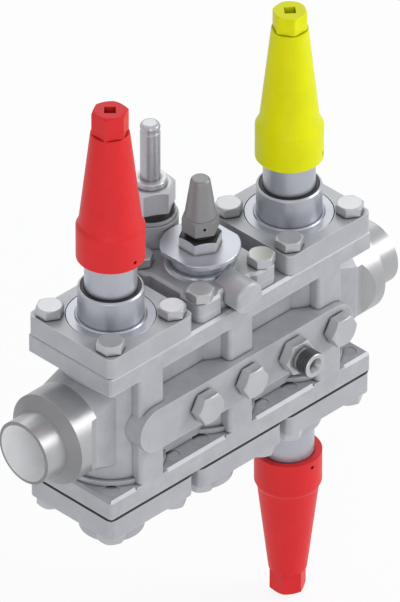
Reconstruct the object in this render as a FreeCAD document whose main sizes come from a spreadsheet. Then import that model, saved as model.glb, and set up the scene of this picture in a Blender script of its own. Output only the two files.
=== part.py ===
import FreeCAD, Part
import os
import re
import Sketcher

# Valve station for a refrigerant line: one cast housing with six module seats on
# three upright axes, welded into the pipeline at both ends. All sizes are millimetres.
# The origin is the centre of the inlet weld end, +X is the flow direction,
# -Y is the side with the service ports and +Z is up.

SIZES = {
    # Layout of the three upright axes along the flow
    "end_to_axis": 86,
    "axis_pitch": 88,
    "bolt_spacing": 60,
    # Cast housing
    "housing_half_width": 41,
    "housing_half_height": 60,
    "flange_thickness": 15,
    "flange_corner_radius": 2.5,
    "flange_chamfer": 2,
    "chamber_outer_radius": 35,
    "chamber_radius": 27,
    "chamber_foot_radius": 38,
    "chamber_foot_height": 4,
    "chamber_mouth_radius": 33.5,
    "chamber_mouth_depth": 4,
    "partition_half_thickness": 8,
    "seat_outer_radius": 20,
    "seat_bore_radius": 14,
    "core_half_width": 26,
    "column_width": 24,
    "column_edge_radius": 3,
    "passage_width": 24,
    "passage_floor": 12,
    "passage_roof": 38,
    "passage_reach": 8,
    "passage_mouth_height": 18,
    "end_bore_depth": 8,
    "tapped_hole_radius": 6,
    # Service port bar on the front of the housing
    "port_bar_radius": 17,
    "port_bar_proud": 5.5,
    "port_radius": 8,
    "port_depth": 18,
    "rear_bar_radius": 12,
    # Pipe ends
    "pipe_radius": 24.15,
    "pipe_wall": 2.6,
    "pipe_stub_length": 18,
    "nozzle_radius": 34.4,
    "nozzle_cone_length": 5.7,
    "root_length": 19,
    "root_radius": 39.4,
    "pad_half_width": 27.2,
    "pad_flat_length": 4.7,
    # Square module covers and their screws
    "cover_thickness": 16,
    "cover_corner_radius": 5,
    "gasket_thickness": 2.5,
    "gasket_inset": 1,
    "screw_radius": 5.9,
    "screw_hole_clearance": 0.7,
    "screw_head_width": 18,
    "screw_head_height": 7.5,
    "washer_face_thickness": 0.6,
    "washer_face_share": 0.48,
    "screw_crown_share": 0.47,
    "screw_crown_drop": 1,
    "hex_crown_share": 0.46,
    "hex_crown_drop": 1.4,
    # Stop valve and regulating valve modules
    "bonnet_radius": 32,
    "bonnet_ring_radius": 25.5,
    "neck_radius": 23.4,
    "neck_height": 24.4,
    "neck_ring_radius": 21.7,
    "neck_ring_thickness": 3,
    "gland_radius": 18.65,
    "gland_top_height": 72,
    "gland_seat_depth": 12,
    "spindle_radius": 6,
    "spindle_square": 8,
    "spindle_square_length": 14,
    "spindle_end_height": 92,
    "spigot_depth": 20,
    "cone_radius": 19,
    "cone_thickness": 6,
    "cone_hub_radius": 11,
    "cone_hub_height": 12,
    "cone_nose_length": 5,
    "regulating_nose_length": 7,
    "cone_seal_thickness": 2,
    "cone_seal_width": 3,
    # Protecting caps
    "cap_rim_height": 50.3,
    "cap_skirt_radius": 24.3,
    "cap_skirt_height": 25.5,
    "cap_bore_clearance": 0.35,
    "red_cap_cone_base_radius": 22.2,
    "red_cap_cone_tip_radius": 14.2,
    "red_cap_chamfer_height": 4.5,
    "red_cap_cone_top": 99.7,
    "red_cap_shoulder_height": 3.6,
    "red_cap_shoulder_radius": 13.1,
    "red_cap_hex_width": 23.2,
    "red_cap_height": 121.5,
    "red_cap_crown_share": 0.44,
    "red_cap_crown_drop": 1.6,
    "yellow_cap_cone_base_radius": 21.3,
    "yellow_cap_cone_tip_radius": 13.1,
    "yellow_cap_chamfer_height": 6,
    "yellow_cap_cone_top": 106.8,
    "yellow_cap_hex_width": 22.2,
    "yellow_cap_height": 121.3,
    "yellow_cap_rim_drop": 1.3,
    "cap_wall": 3.2,
    "cap_end_thickness": 22,
    "cap_socket_width": 8,
    "cap_socket_depth": 12,
    "cap_hole_radius": 1.5,
    "cap_hole_height": 5,
    # Strainer and check modules below the housing
    "blank_neck_radius": 23.2,
    "blank_neck_height": 26,
    "strainer_radius": 20,
    "strainer_wall": 1.5,
    "strainer_ring_height": 4,
    "strainer_foot_thickness": 2,
    "strainer_window_share": 0.5,
    "strainer_window_foot": 7,
    "strainer_window_top": 9,
    "check_disc_radius": 18,
    "check_disc_thickness": 4,
    "check_stem_radius": 4,
    "check_guide_radius": 7,
    "check_guide_height": 22,
    "check_travel": 8,
    # Solenoid module
    "spacer_thickness": 5.5,
    "plate_inset": 3,
    "plate_waist": 3,
    "plate_waist_half_length": 15,
    "plate_corner_radius": 5,
    "plate_chamfer": 2,
    "tongue_radius": 12.2,
    "tongue_reach": 50,
    "tongue_axis_drop": 6.5,
    "tongue_edge_radius": 3,
    "tongue_lip_inset": 3,
    "piston_radius": 22,
    "piston_height": 22,
    "piston_sleeve_depth": 30,
    "piston_travel": 8,
    "piston_waist_share": 0.7,
    "piston_head_height": 12,
    "piston_cup_depth": 10,
    "piston_cup_wall": 6,
    "piston_spring_inset": 7.5,
    "piston_spring_wall": 2.5,
    "dome_base_radius": 25.8,
    "dome_ring_radius": 23.4,
    "dome_ring_height": 2.2,
    "dome_neck_radius": 20.6,
    "dome_neck_height": 6.5,
    "dome_waist_radius": 18.5,
    "dome_height": 12.5,
    "dome_disc_radius": 28.5,
    "dome_disc_thickness": 3.3,
    "dome_flat_width": 52,
    "stem_nut_width": 27,
    "stem_nut_height": 9.5,
    "stem_neck_radius": 10,
    "stem_neck_height": 4,
    "stem_thread_radius": 8.5,
    "stem_thread_height": 8,
    "stem_radius": 4,
    "stem_travel": 5,
    "stem_end_reach": 10,
    "stem_square_length": 7,
    "lifter_height": 8,
    "seal_cap_hex_width": 23.6,
    "seal_cap_hex_height": 11.7,
    "seal_cap_crown_share": 0.48,
    "seal_cap_crown_drop": 1.2,
    "seal_cap_cone_base_radius": 11.3,
    "seal_cap_cone_tip_radius": 7.2,
    "seal_cap_cone_height": 28,
    "seal_cap_tip_height": 2.6,
    "seal_cap_tip_radius": 5.6,
    "seal_cap_bore_radius": 6.2,
    "seal_cap_hole_radius": 1.2,
    "coil_offset": 49.5,
    "coil_boss_radius": 20,
    "coil_boss_height": 21,
    "coil_web_share": 0.85,
    "coil_ring_radius": 17,
    "coil_ring_height": 5,
    "coil_nut_width": 31.6,
    "coil_nut_height": 18,
    "coil_nut_crown_drop": 1.8,
    "coil_nut_collar_radius": 12,
    "coil_nut_collar_height": 4.8,
    "coil_foot_radius": 8.5,
    "coil_tube_radius": 7.25,
    "coil_tube_height": 73.5,
    "coil_tube_wall": 1.4,
    "coil_tube_groove_depth": 0.8,
    "coil_tube_tip_share": 0.56,
    "armature_height": 30,
    "armature_travel": 2.5,
    "armature_spring_room": 12,
    "armature_spring_inner_radius": 2.2,
    "armature_spring_outer_radius": 3.4,
    "armature_spring_bore_radius": 3.8,
    # Port plugs and the threaded connector
    "plug_head_width": 22,
    "plug_head_height": 9,
    "plug_gasket_thickness": 1,
    "plug_gasket_share": 0.47,
    "port_shank_share": 0.7,
    "connector_hex_width": 24,
    "connector_thread_radius": 9.8,
    "connector_reach": 23.5,
    "connector_neck_length": 2.5,
    "connector_bore_radius": 4,
    "connector_mouth_radius": 6,
    # Fits: radial play of screwed, pressed and sliding pieces
    "fit_play": 0.05,
    "free_play": 0.35,
}

# Places that several pieces share, written as size expressions.
FIRST_AXIS = "end_to_axis"
MIDDLE_AXIS = "(end_to_axis + axis_pitch)"
LAST_AXIS = "(end_to_axis + 2 * axis_pitch)"
AXES = (FIRST_AXIS, MIDDLE_AXIS, LAST_AXIS)
STATION_LENGTH = "(2 * end_to_axis + 2 * axis_pitch)"
HOUSING_START = "(end_to_axis - housing_half_width)"
HOUSING_END = "(end_to_axis + 2 * axis_pitch + housing_half_width)"
POCKET_HALF_HEIGHT = "(housing_half_height - flange_thickness)"
COVER_TOP = "(housing_half_height + cover_thickness)"
PORT_FACE = "(housing_half_width + port_bar_proud)"
PORT_STEP = "axis_pitch / 2"
BOLT_REACH = "bolt_spacing / 2"
PIPE_BORE = "(pipe_radius - pipe_wall)"
PISTON_TOP = "(partition_half_thickness + cone_thickness + piston_height)"
PISTON_CEILING = f"({PISTON_TOP} + piston_travel + free_play)"

doc = FreeCAD.newDocument("ValveStation")
sheet = doc.addObject("Spreadsheet::Sheet", "Sizes")
for row, (alias, size) in enumerate(SIZES.items(), start=1):
    sheet.set(f"A{row}", alias)
    sheet.set(f"B{row}", str(size))
    sheet.setAlias(f"B{row}", alias)
doc.recompute()

nodes = []


def sized(text):
    """Point the size names in an expression at the sheet."""
    def named(word):
        return f"Sizes.{word.group()}" if word.group() in SIZES else word.group()
    return re.sub(r"[a-z]\w*", named, str(text))


def bind(thing, field, text):
    """Bind one property of an object to a size expression."""
    thing.setExpression(field, sized(text))


def new_body(name):
    """Start a sub-part that is built up from sketches."""
    body = doc.addObject("PartDesign::Body", name)
    body.Label = name
    return body


def origin_plane(body, role):
    """Find one of a body's own origin planes."""
    return next(plane for plane in body.Origin.OriginFeatures if plane.Role == role)


def circle(across, up, radius):
    """Describe a round outline by its centre and radius."""
    return {"centre": (across, up), "radius": radius}


def box(left, low, right, high):
    """Describe a rectangular outline by two opposite corners."""
    return [(left, low), (right, low), (right, high), (left, high)]


def regular(sides, width, turn):
    """Describe a regular outline by its width across flats and the angle of its first corner."""
    step = 360 / sides
    reach = f"({width}) / 2 / cos({step / 2}deg)"
    angles = [turn + step * corner for corner in range(sides)]
    return [(f"{reach} * cos({angle}deg)", f"{reach} * sin({angle}deg)") for angle in angles]


def hexagon(width, turn):
    """Describe a hexagon."""
    return regular(6, width, turn)


def square(width, turn):
    """Describe a square."""
    return regular(4, width, turn)


def draw_circle(drawing, outline):
    """Draw a circle whose centre and radius follow the sheet."""
    index = drawing.addGeometry(Part.Circle(FreeCAD.Vector(1, 1, 0), FreeCAD.Vector(0, 0, 1), 5))
    for kind, text in zip(("DistanceX", "DistanceY"), outline["centre"]):
        place = drawing.addConstraint(Sketcher.Constraint(kind, index, 3, 1))
        bind(drawing, f"Constraints[{place}]", text)
    size = drawing.addConstraint(Sketcher.Constraint("Radius", index, 5))
    bind(drawing, f"Constraints[{size}]", outline["radius"])


def draw_polygon(drawing, corners):
    """Draw a closed outline whose corners follow the sheet."""
    count = len(corners)
    turn = FreeCAD.Rotation(FreeCAD.Vector(0, 0, 1), 360 / count)
    points = [FreeCAD.Vector(50, 1, 0)]
    for _ in range(count - 1):
        points.append(turn.multVec(points[-1]))
    first = drawing.GeometryCount
    for index in range(count):
        drawing.addGeometry(Part.LineSegment(points[index], points[(index + 1) % count]))
    for index in range(count):
        following = first + (index + 1) % count
        drawing.addConstraint(Sketcher.Constraint("Coincident", first + index, 2, following, 1))
    for index, corner in enumerate(corners):
        for kind, text, start in zip(("DistanceX", "DistanceY"), corner, points[index]):
            place = drawing.addConstraint(Sketcher.Constraint(kind, first + index, 1, start))
            bind(drawing, f"Constraints[{place}]", text)


def sketch(body, plane, level, outlines):
    """Draw outlines on one of the body's planes, moved along the plane's normal."""
    drawing = body.newObject("Sketcher::SketchObject", f"{body.Name}_sketch")
    drawing.AttachmentSupport = [(origin_plane(body, plane), "")]
    drawing.MapMode = "FlatFace"
    bind(drawing, "AttachmentOffset.Base.z", level)
    for outline in outlines:
        if isinstance(outline, dict):
            draw_circle(drawing, outline)
        else:
            draw_polygon(drawing, outline)
    return drawing


def pad(body, plane, start, end, *outlines):
    """Add material between two levels of a plane's normal."""
    feature = body.newObject("PartDesign::Pad", f"{body.Name}_pad")
    feature.Profile = sketch(body, plane, start, outlines)
    bind(feature, "Length", f"({end}) - ({start})")
    return feature


def pocket(body, plane, start, end, *outlines):
    """Remove material between two levels of a plane's normal."""
    feature = body.newObject("PartDesign::Pocket", f"{body.Name}_pocket")
    feature.Profile = sketch(body, plane, start, outlines)
    feature.Reversed = True
    bind(feature, "Length", f"({end}) - ({start})")
    return feature


def revolve(body, outline, axis="V_Axis"):
    """Add a turned form. The outline holds radius and height, or length and radius."""
    feature = body.newObject("PartDesign::Revolution", f"{body.Name}_turned")
    profile = sketch(body, "XZ_Plane", "0", [outline])
    feature.Profile = profile
    feature.ReferenceAxis = (profile, [axis])
    feature.Angle = 360
    return feature


def dress(body, kind, size, wanted):
    """Round or chamfer the edges of a body that a test picks out."""
    doc.recompute()
    tip = body.Tip
    names = [f"Edge{index}" for index, edge in enumerate(tip.Shape.Edges, start=1) if wanted(edge)]
    feature = body.newObject(f"PartDesign::{kind}", f"{body.Name}_{kind.lower()}")
    feature.Base = (tip, names)
    bind(feature, "Radius" if kind == "Fillet" else "Size", size)
    return feature


def hex_cut(body, width, start, end, turn=30):
    """Cut a hexagon out of a turned head, which leaves the curved corner chamfers."""
    return pocket(body, "XY_Plane", start, end, circle("0", "0", f"({width}) * 0.7"), hexagon(width, turn))


def place(piece, x="0", y="0", z="0", axis=(0, 0, 1), angle=0):
    """Put a finished piece at its place on the station."""
    turn = FreeCAD.Rotation(FreeCAD.Vector(*axis), angle)
    piece.Placement = FreeCAD.Placement(FreeCAD.Vector(0, 0, 0), turn)
    for letter, text in zip("xyz", (x, y, z)):
        bind(piece, f"Placement.Base.{letter}", text)
    return piece


def keep(piece):
    """List a piece as one node of the station."""
    nodes.append(piece)
    return piece


def turned(name, outline):
    """Make a piece whose main form is turned round its own upright axis."""
    body = new_body(name)
    revolve(body, outline)
    return body


def bolt_centres():
    """Give the four screw places of a module."""
    return [(f"{side} * {BOLT_REACH}", f"{row} * {BOLT_REACH}") for side in (1, -1) for row in (1, -1)]


def upright(edge):
    """Tell whether an edge is a straight upright one."""
    if not isinstance(edge.Curve, Part.Line):
        return False
    return abs(edge.tangentAt(edge.FirstParameter).z) > 0.999


def value(name):
    """Read one size from the sheet."""
    return float(getattr(sheet, name))


def corner_edge(half):
    """Make a test for the upright corner edges of a square plate."""
    def wanted(edge):
        middle = edge.CenterOfMass
        return upright(edge) and abs(abs(middle.x) - half) < 0.01 and abs(abs(middle.y) - half) < 0.01
    return wanted


def make_housing():
    """Cast housing with chambers, partitions, passages, ports and tapped flanges."""
    body = new_body("housing")
    root_start = f"({HOUSING_START} + root_length)"
    root_end = f"({HOUSING_END} - root_length)"
    revolve(body, [
        (HOUSING_START, "0"), (HOUSING_START, "nozzle_radius"), (root_start, "root_radius"),
        (root_start, "core_half_width"), (root_end, "core_half_width"), (root_end, "root_radius"),
        (HOUSING_END, "nozzle_radius"), (HOUSING_END, "0")], axis="H_Axis")
    # Flat pads on both sides of the two pipe roots
    pocket(body, "XY_Plane", "-housing_half_height", "housing_half_height",
           box(f"{HOUSING_START} - 1", "pad_half_width", f"{HOUSING_END} + 1", "housing_half_width"),
           box(f"{HOUSING_START} - 1", "-housing_half_width", f"{HOUSING_END} + 1", "-pad_half_width"))
    wall_low = f"-{POCKET_HALF_HEIGHT} - 1"
    wall_high = f"{POCKET_HALF_HEIGHT} + 1"
    pad(body, "XY_Plane", wall_low, wall_high, *[circle(axis, "0", "chamber_outer_radius") for axis in AXES])
    pad(body, "XY_Plane", wall_low, wall_high,
        box(FIRST_AXIS, "-core_half_width", LAST_AXIS, "core_half_width"))
    pad(body, "XY_Plane", wall_low, wall_high, *[
        box(f"{axis} - column_width / 2", "-housing_half_width",
            f"{axis} + column_width / 2", "housing_half_width") for axis in AXES])
    # Stepped feet of the chambers on the lower flange
    pad(body, "XY_Plane", wall_low, f"-{POCKET_HALF_HEIGHT} + chamber_foot_height",
        *[circle(axis, "0", "chamber_foot_radius") for axis in AXES])
    plate = box(HOUSING_START, "-housing_half_width", HOUSING_END, "housing_half_width")
    pad(body, "XY_Plane", "-housing_half_height", f"-{POCKET_HALF_HEIGHT}", plate)
    pad(body, "XY_Plane", POCKET_HALF_HEIGHT, "housing_half_height", plate)
    # Service port bar, and the plain bar on the rear
    pad(body, "XZ_Plane", "0", PORT_FACE, box(FIRST_AXIS, "-port_bar_radius", LAST_AXIS, "port_bar_radius"))
    pad(body, "XZ_Plane", "0", PORT_FACE, circle(FIRST_AXIS, "0", "port_bar_radius"))
    pad(body, "XZ_Plane", "0", PORT_FACE, circle(LAST_AXIS, "0", "port_bar_radius"))
    pad(body, "XZ_Plane", "-housing_half_width", "0",
        box(FIRST_AXIS, "-rear_bar_radius", LAST_AXIS, "rear_bar_radius"))
    # Chambers above and below the partitions, with the wider mouths that seat the modules
    for low, high, radius in (
            ("partition_half_thickness", "housing_half_height + 1", "chamber_radius"),
            ("-housing_half_height - 1", "-partition_half_thickness", "chamber_radius"),
            ("-partition_half_thickness", "partition_half_thickness", "seat_outer_radius"),
            ("housing_half_height - chamber_mouth_depth", "housing_half_height + 1", "chamber_mouth_radius"),
            ("-housing_half_height - 1", "-housing_half_height + chamber_mouth_depth",
             "chamber_mouth_radius")):
        pocket(body, "XY_Plane", low, high, *[circle(axis, "0", radius) for axis in AXES])
    # Flow passages: in at the first upper chamber, up between neighbours, out of the last lower chamber
    pipe_bore = circle("0", "0", PIPE_BORE)
    pocket(body, "YZ_Plane", f"{HOUSING_START} - 1", f"{HOUSING_START} + end_bore_depth", pipe_bore)
    pocket(body, "YZ_Plane", f"{HOUSING_END} - end_bore_depth", f"{HOUSING_END} + 1", pipe_bore)
    half = "passage_width / 2"
    inward = "(chamber_radius - passage_reach)"
    entry_start = f"{HOUSING_START} + end_bore_depth / 2"
    entry_end = f"{FIRST_AXIS} - {inward}"
    leave_start = f"{HOUSING_END} - end_bore_depth / 2"
    leave_end = f"{LAST_AXIS} + {inward}"
    entry = [(entry_start, f"-{half}"), (entry_end, "passage_floor"), (entry_end, "passage_roof"),
             (entry_start, "passage_mouth_height")]
    leave = [(leave_start, half), (leave_end, "-passage_floor"), (leave_end, "-passage_roof"),
             (leave_start, "-passage_mouth_height")]
    climbs = [[(f"{near} + {inward}", "-passage_roof"), (f"{far} - {inward}", "passage_floor"),
               (f"{far} - {inward}", "passage_roof"), (f"{near} + {inward}", "-passage_floor")]
              for near, far in ((FIRST_AXIS, MIDDLE_AXIS), (MIDDLE_AXIS, LAST_AXIS))]
    for outline in (entry, leave, *climbs):
        pocket(body, "XZ_Plane", f"-{half}", half, outline)
    # Through-tapped screw holes in both flanges
    holes = [circle(f"{axis} + {x}", y, "tapped_hole_radius") for axis in AXES for x, y in bolt_centres()]
    pocket(body, "XY_Plane", f"{POCKET_HALF_HEIGHT} - 1", "housing_half_height + 1", *holes)
    pocket(body, "XY_Plane", "-housing_half_height - 1", f"-{POCKET_HALF_HEIGHT} + 1", *holes)
    pocket(body, "XZ_Plane", f"{PORT_FACE} - port_depth", f"{PORT_FACE} + 1",
           *[circle(f"{FIRST_AXIS} + {count} * {PORT_STEP}", "0", "port_radius") for count in range(1, 5)])
    dress_housing(body)
    chamfer_foot_flange(body)
    return keep(body)


def chamfer_foot_flange(body):
    """Chamfer the top edges of the lower flange between the columns and at both ends."""
    floor = f"-{POCKET_HALF_HEIGHT}"
    low = f"{floor} - flange_chamfer"

    def wedge(edge, outward):
        inner = f"{edge} - {outward} * flange_chamfer"
        outer = f"{edge} + {outward} * 1"
        return [(inner, floor), (edge, low), (outer, low), (outer, f"{floor} + 1"), (inner, f"{floor} + 1")]

    step = "(column_width / 2 + column_edge_radius + 0.2)"
    starts = [f"{HOUSING_START} - 1", *[f"{axis} + {step}" for axis in AXES]]
    ends = [*[f"{axis} - {step}" for axis in AXES], f"{HOUSING_END} + 1"]
    for start, end in zip(starts, ends):
        pocket(body, "YZ_Plane", start, end, wedge("housing_half_width", 1), wedge("-housing_half_width", -1))
    pocket(body, "XZ_Plane", "-housing_half_width - 1", "housing_half_width + 1",
           wedge(HOUSING_START, -1), wedge(HOUSING_END, 1))


def dress_housing(body):
    """Round the flange corners and column edges and chamfer the top flange."""
    width = value("housing_half_width")
    height = value("housing_half_height")
    pocket_height = height - value("flange_thickness")
    start = value("end_to_axis") - width
    end = value("end_to_axis") + 2 * value("axis_pitch") + width
    near = 0.01

    def flange_corner(edge):
        middle = edge.CenterOfMass
        at_end = min(abs(middle.x - start), abs(middle.x - end)) < near
        return upright(edge) and at_end and abs(abs(middle.y) - width) < near

    def column_edge(edge):
        middle = edge.CenterOfMass
        return upright(edge) and abs(abs(middle.y) - width) < near and abs(middle.z) < pocket_height

    def top_edge(edge):
        frame = edge.BoundBox
        on_side = abs(abs(frame.YMin) - width) < near and frame.YLength < near
        on_end = min(abs(frame.XMin - start), abs(frame.XMin - end)) < near and frame.XLength < near
        return abs(frame.ZMin - height) < near and frame.ZLength < near and (on_side or on_end)

    dress(body, "Fillet", "flange_corner_radius", flange_corner)
    dress(body, "Fillet", "column_edge_radius", column_edge)
    dress(body, "Chamfer", "flange_chamfer", top_edge)


def make_nozzle(name, x, angle):
    """Machined pipe end: weld stub, cone, shoulder cylinder and two flat pads."""
    length = HOUSING_START
    cone_end = "(pipe_stub_length + nozzle_cone_length)"
    body = turned(name, [
        (PIPE_BORE, "0"), ("pipe_radius - 0.8", "0"), ("pipe_radius", "0.5"),
        ("pipe_radius", "pipe_stub_length"),
        ("nozzle_radius", cone_end), ("nozzle_radius", length), (PIPE_BORE, length)])
    slant = "(nozzle_radius - pad_half_width)"
    pads = []
    for side in (1, -1):
        flat = f"{side} * pad_half_width"
        outside = f"{side} * (nozzle_radius + 2)"
        pads.append([(flat, f"{length} + 1"), (outside, f"{length} + 1"),
                     (outside, f"{length} - pad_flat_length - {slant} - 2"),
                     (flat, f"{length} - pad_flat_length")])
    pocket(body, "YZ_Plane", "-nozzle_radius - 1", "nozzle_radius + 1", *pads)
    return keep(place(body, x, "0", "0", (0, 1, 0), angle))


def make_cover(name, x, z="0", down=False, bore=True):
    """Square cover plate with rounded corners, four screw holes and a centre bore."""
    body = new_body(name)
    side = "housing_half_width"
    pad(body, "XY_Plane", "housing_half_height", COVER_TOP, box(f"-{side}", f"-{side}", side, side))
    dress(body, "Fillet", "cover_corner_radius", corner_edge(value(side)))
    holes = [circle(across, up, "screw_radius + screw_hole_clearance") for across, up in bolt_centres()]
    if bore:
        holes.append(circle("0", "0", "bonnet_radius + fit_play"))
    pocket(body, "XY_Plane", "housing_half_height - 1", f"{COVER_TOP} + 1", *holes)
    return keep(place(body, x, "0", z, (0, 1, 0), 180 if down else 0))


def make_gasket(name, x):
    """Flat gasket under a lower cover."""
    body = new_body(name)
    side = "(housing_half_width - gasket_inset)"
    top = "-housing_half_height"
    pad(body, "XY_Plane", f"{top} - gasket_thickness", top, box(f"-{side}", f"-{side}", side, side))
    holes = [circle(across, up, "screw_radius + screw_hole_clearance") for across, up in bolt_centres()]
    holes.append(circle("0", "0", "chamber_mouth_radius + fit_play"))
    pocket(body, "XY_Plane", f"{top} - gasket_thickness - 1", f"{top} + 1", *holes)
    return keep(place(body, x))


def make_screws(name, x, seat, z="0", down=False):
    """Four hexagon screws of one cover as one node. The seat is the height under their heads."""
    screws = []
    head = f"({seat} + washer_face_thickness)"
    crown = f"({seat} + screw_head_height)"
    corner = "screw_head_width / 2 / cos(30deg)"
    for count, (across, up) in enumerate(bolt_centres(), start=1):
        body = turned(f"{name}_{count}", [
            ("0", f"{POCKET_HALF_HEIGHT} + 1"), ("screw_radius", f"{POCKET_HALF_HEIGHT} + 1"),
            ("screw_radius", seat), ("washer_face_share * screw_head_width", seat),
            ("washer_face_share * screw_head_width", head),
            (corner, head), (corner, f"{crown} - screw_crown_drop"),
            ("screw_crown_share * screw_head_width", crown), ("0", crown)])
        hex_cut(body, "screw_head_width", head, f"{crown} + 1")
        place(body, across, up, "0")
        screws.append(body)
    group = doc.addObject("Part::Compound", name)
    group.Links = screws
    return keep(place(group, x, "0", z, (0, 1, 0), 180 if down else 0))


def make_spindle_module(prefix, x, cap, down=False):
    """Stop or regulating valve module: bonnet, gland, spindle, cone and protecting cap."""
    z = "-gasket_thickness" if down else "0"
    flip = ((0, 1, 0), 180 if down else 0)
    make_cover(f"{prefix}_cover", x, z, down)
    mouth = "(housing_half_height - chamber_mouth_depth)" if not down else \
        "(housing_half_height - chamber_mouth_depth - gasket_thickness)"
    neck_top = f"({COVER_TOP} + neck_height)"
    gland_seat = f"({neck_top} - gland_seat_depth)"
    gland_top = f"({COVER_TOP} + gland_top_height)"
    spigot_end = "(housing_half_height - spigot_depth)"
    bonnet = turned(f"{prefix}_bonnet", [
        ("spindle_radius + 2", spigot_end), ("chamber_radius - fit_play", spigot_end),
        ("chamber_radius - fit_play", mouth), ("chamber_mouth_radius - fit_play", mouth),
        ("chamber_mouth_radius - fit_play", "housing_half_height"),
        ("bonnet_radius", "housing_half_height"), ("bonnet_radius", f"{COVER_TOP} - 0.6"),
        ("bonnet_radius - 0.6", COVER_TOP), ("bonnet_ring_radius", COVER_TOP),
        ("bonnet_ring_radius - 0.8", f"{COVER_TOP} + 1.2"), ("neck_radius", f"{COVER_TOP} + 1.2"),
        ("neck_radius", f"{neck_top} - 1.2"), ("neck_radius - 1.2", neck_top), ("neck_ring_radius", neck_top),
        ("neck_ring_radius", f"{neck_top} - neck_ring_thickness"),
        ("gland_radius + fit_play", f"{neck_top} - neck_ring_thickness"),
        ("gland_radius + fit_play", gland_seat), ("spindle_radius + 2", gland_seat)])
    keep(place(bonnet, x, "0", z, *flip))
    ring = turned(f"{prefix}_neck_ring", [
        ("gland_radius + fit_play", f"{neck_top} - neck_ring_thickness"),
        ("neck_ring_radius - fit_play", f"{neck_top} - neck_ring_thickness"),
        ("neck_ring_radius - fit_play", neck_top), ("gland_radius + fit_play", neck_top)])
    keep(place(ring, x, "0", z, *flip))
    gland = turned(f"{prefix}_gland", [
        ("spindle_radius + fit_play", gland_seat), ("gland_radius", gland_seat), ("gland_radius", gland_top),
        ("spindle_radius + fit_play", gland_top)])
    keep(place(gland, x, "0", z, *flip))
    make_cone(prefix, x, flip, "regulating_nose_length" if prefix == "regulating" else "cone_nose_length")
    make_spindle(prefix, x, flip)
    cap(f"{prefix}_cap", x, z, flip, gland_top)
    make_screws(f"{prefix}_screws", x, COVER_TOP, z, down)


def make_cone(prefix, x, flip, nose_length):
    """Valve cone with its hub and soft seal ring. The flat of the seal rests on the seat."""
    seat = "partition_half_thickness"
    back = f"({seat} + cone_thickness)"
    hub = f"({back} + cone_hub_height)"
    seal_inner = "(seat_bore_radius + 0.6)"
    seal_outer = f"({seal_inner} + cone_seal_width)"
    seal_top = f"({seat} + cone_seal_thickness)"
    cone = turned(f"{prefix}_cone", [
        ("0", f"{seat} - {nose_length}"), ("0.6 * seat_bore_radius", f"{seat} - {nose_length}"),
        ("seat_bore_radius - free_play", seat), (seal_inner, f"{seat} + 0.5"), (seal_inner, seal_top),
        (seal_outer, seal_top), (seal_outer, f"{seat} + 0.5"), ("cone_radius", f"{seat} + 0.5"),
        ("cone_radius", back),
        ("cone_hub_radius", f"{back} + 2"), ("cone_hub_radius", hub), ("spindle_radius + fit_play", hub),
        ("spindle_radius + fit_play", f"{back} + 1"), ("0", f"{back} + 1")])
    keep(place(cone, x, "0", "0", *flip))
    seal = turned(f"{prefix}_cone_seal", [
        (f"{seal_inner} + fit_play", seat), (f"{seal_outer} - fit_play", seat),
        (f"{seal_outer} - fit_play", seal_top), (f"{seal_inner} + fit_play", seal_top)])
    keep(place(seal, x, "0", "0", *flip))


def make_spindle(prefix, x, flip):
    """Threaded spindle with a square end under the cap."""
    foot = "(partition_half_thickness + cone_thickness + 1)"
    end = f"({COVER_TOP} + spindle_end_height)"
    spindle = turned(f"{prefix}_spindle", [
        ("0", foot), ("spindle_radius", foot), ("spindle_radius", f"{end} - 1"),
        ("spindle_radius - 1", end), ("0", end)])
    pocket(spindle, "XY_Plane", f"{end} - spindle_square_length", f"{end} + 1",
           circle("0", "0", "spindle_radius + 3"), square("spindle_square", 45))
    keep(place(spindle, x, "0", "0", *flip))


def make_red_cap(name, x, z, flip, shoulder):
    """Tall red cap: skirt, tapered body, shoulder and hexagon with a square socket."""
    rim = f"({COVER_TOP} + cap_rim_height)"
    skirt_top = f"({rim} + cap_skirt_height)"
    cone_base = f"({skirt_top} + red_cap_chamfer_height)"
    cone_top = f"({rim} + red_cap_cone_top)"
    hex_foot = f"({cone_top} + red_cap_shoulder_height)"
    end = f"({rim} + red_cap_height)"
    corner = "(red_cap_hex_width / 2 / cos(30deg))"
    cap = turned(name, [
        ("gland_radius + cap_bore_clearance", rim), ("cap_skirt_radius", rim),
        ("cap_skirt_radius", skirt_top),
        ("red_cap_cone_base_radius", cone_base), ("red_cap_cone_tip_radius", cone_top),
        ("red_cap_shoulder_radius + 0.7", f"{hex_foot} - 0.8"), ("red_cap_shoulder_radius", hex_foot),
        (corner, hex_foot), (corner, f"{end} - red_cap_crown_drop"),
        ("red_cap_crown_share * red_cap_hex_width", end), ("0", end),
        ("0", f"{end} - cap_end_thickness"),
        ("red_cap_cone_tip_radius - cap_wall", f"{end} - cap_end_thickness"),
        ("gland_radius - 2.2", shoulder), ("gland_radius + cap_bore_clearance", shoulder)])
    hex_cut(cap, "red_cap_hex_width", hex_foot, f"{end} + 1")
    pocket(cap, "XY_Plane", f"{end} - cap_socket_depth", f"{end} + 1", square("cap_socket_width", 0))
    pocket(cap, "XZ_Plane", "0", "cap_skirt_radius + 1",
           circle("0", f"{rim} + cap_hole_height", "cap_hole_radius"))
    return keep(place(cap, x, "0", z, *flip))


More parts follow.
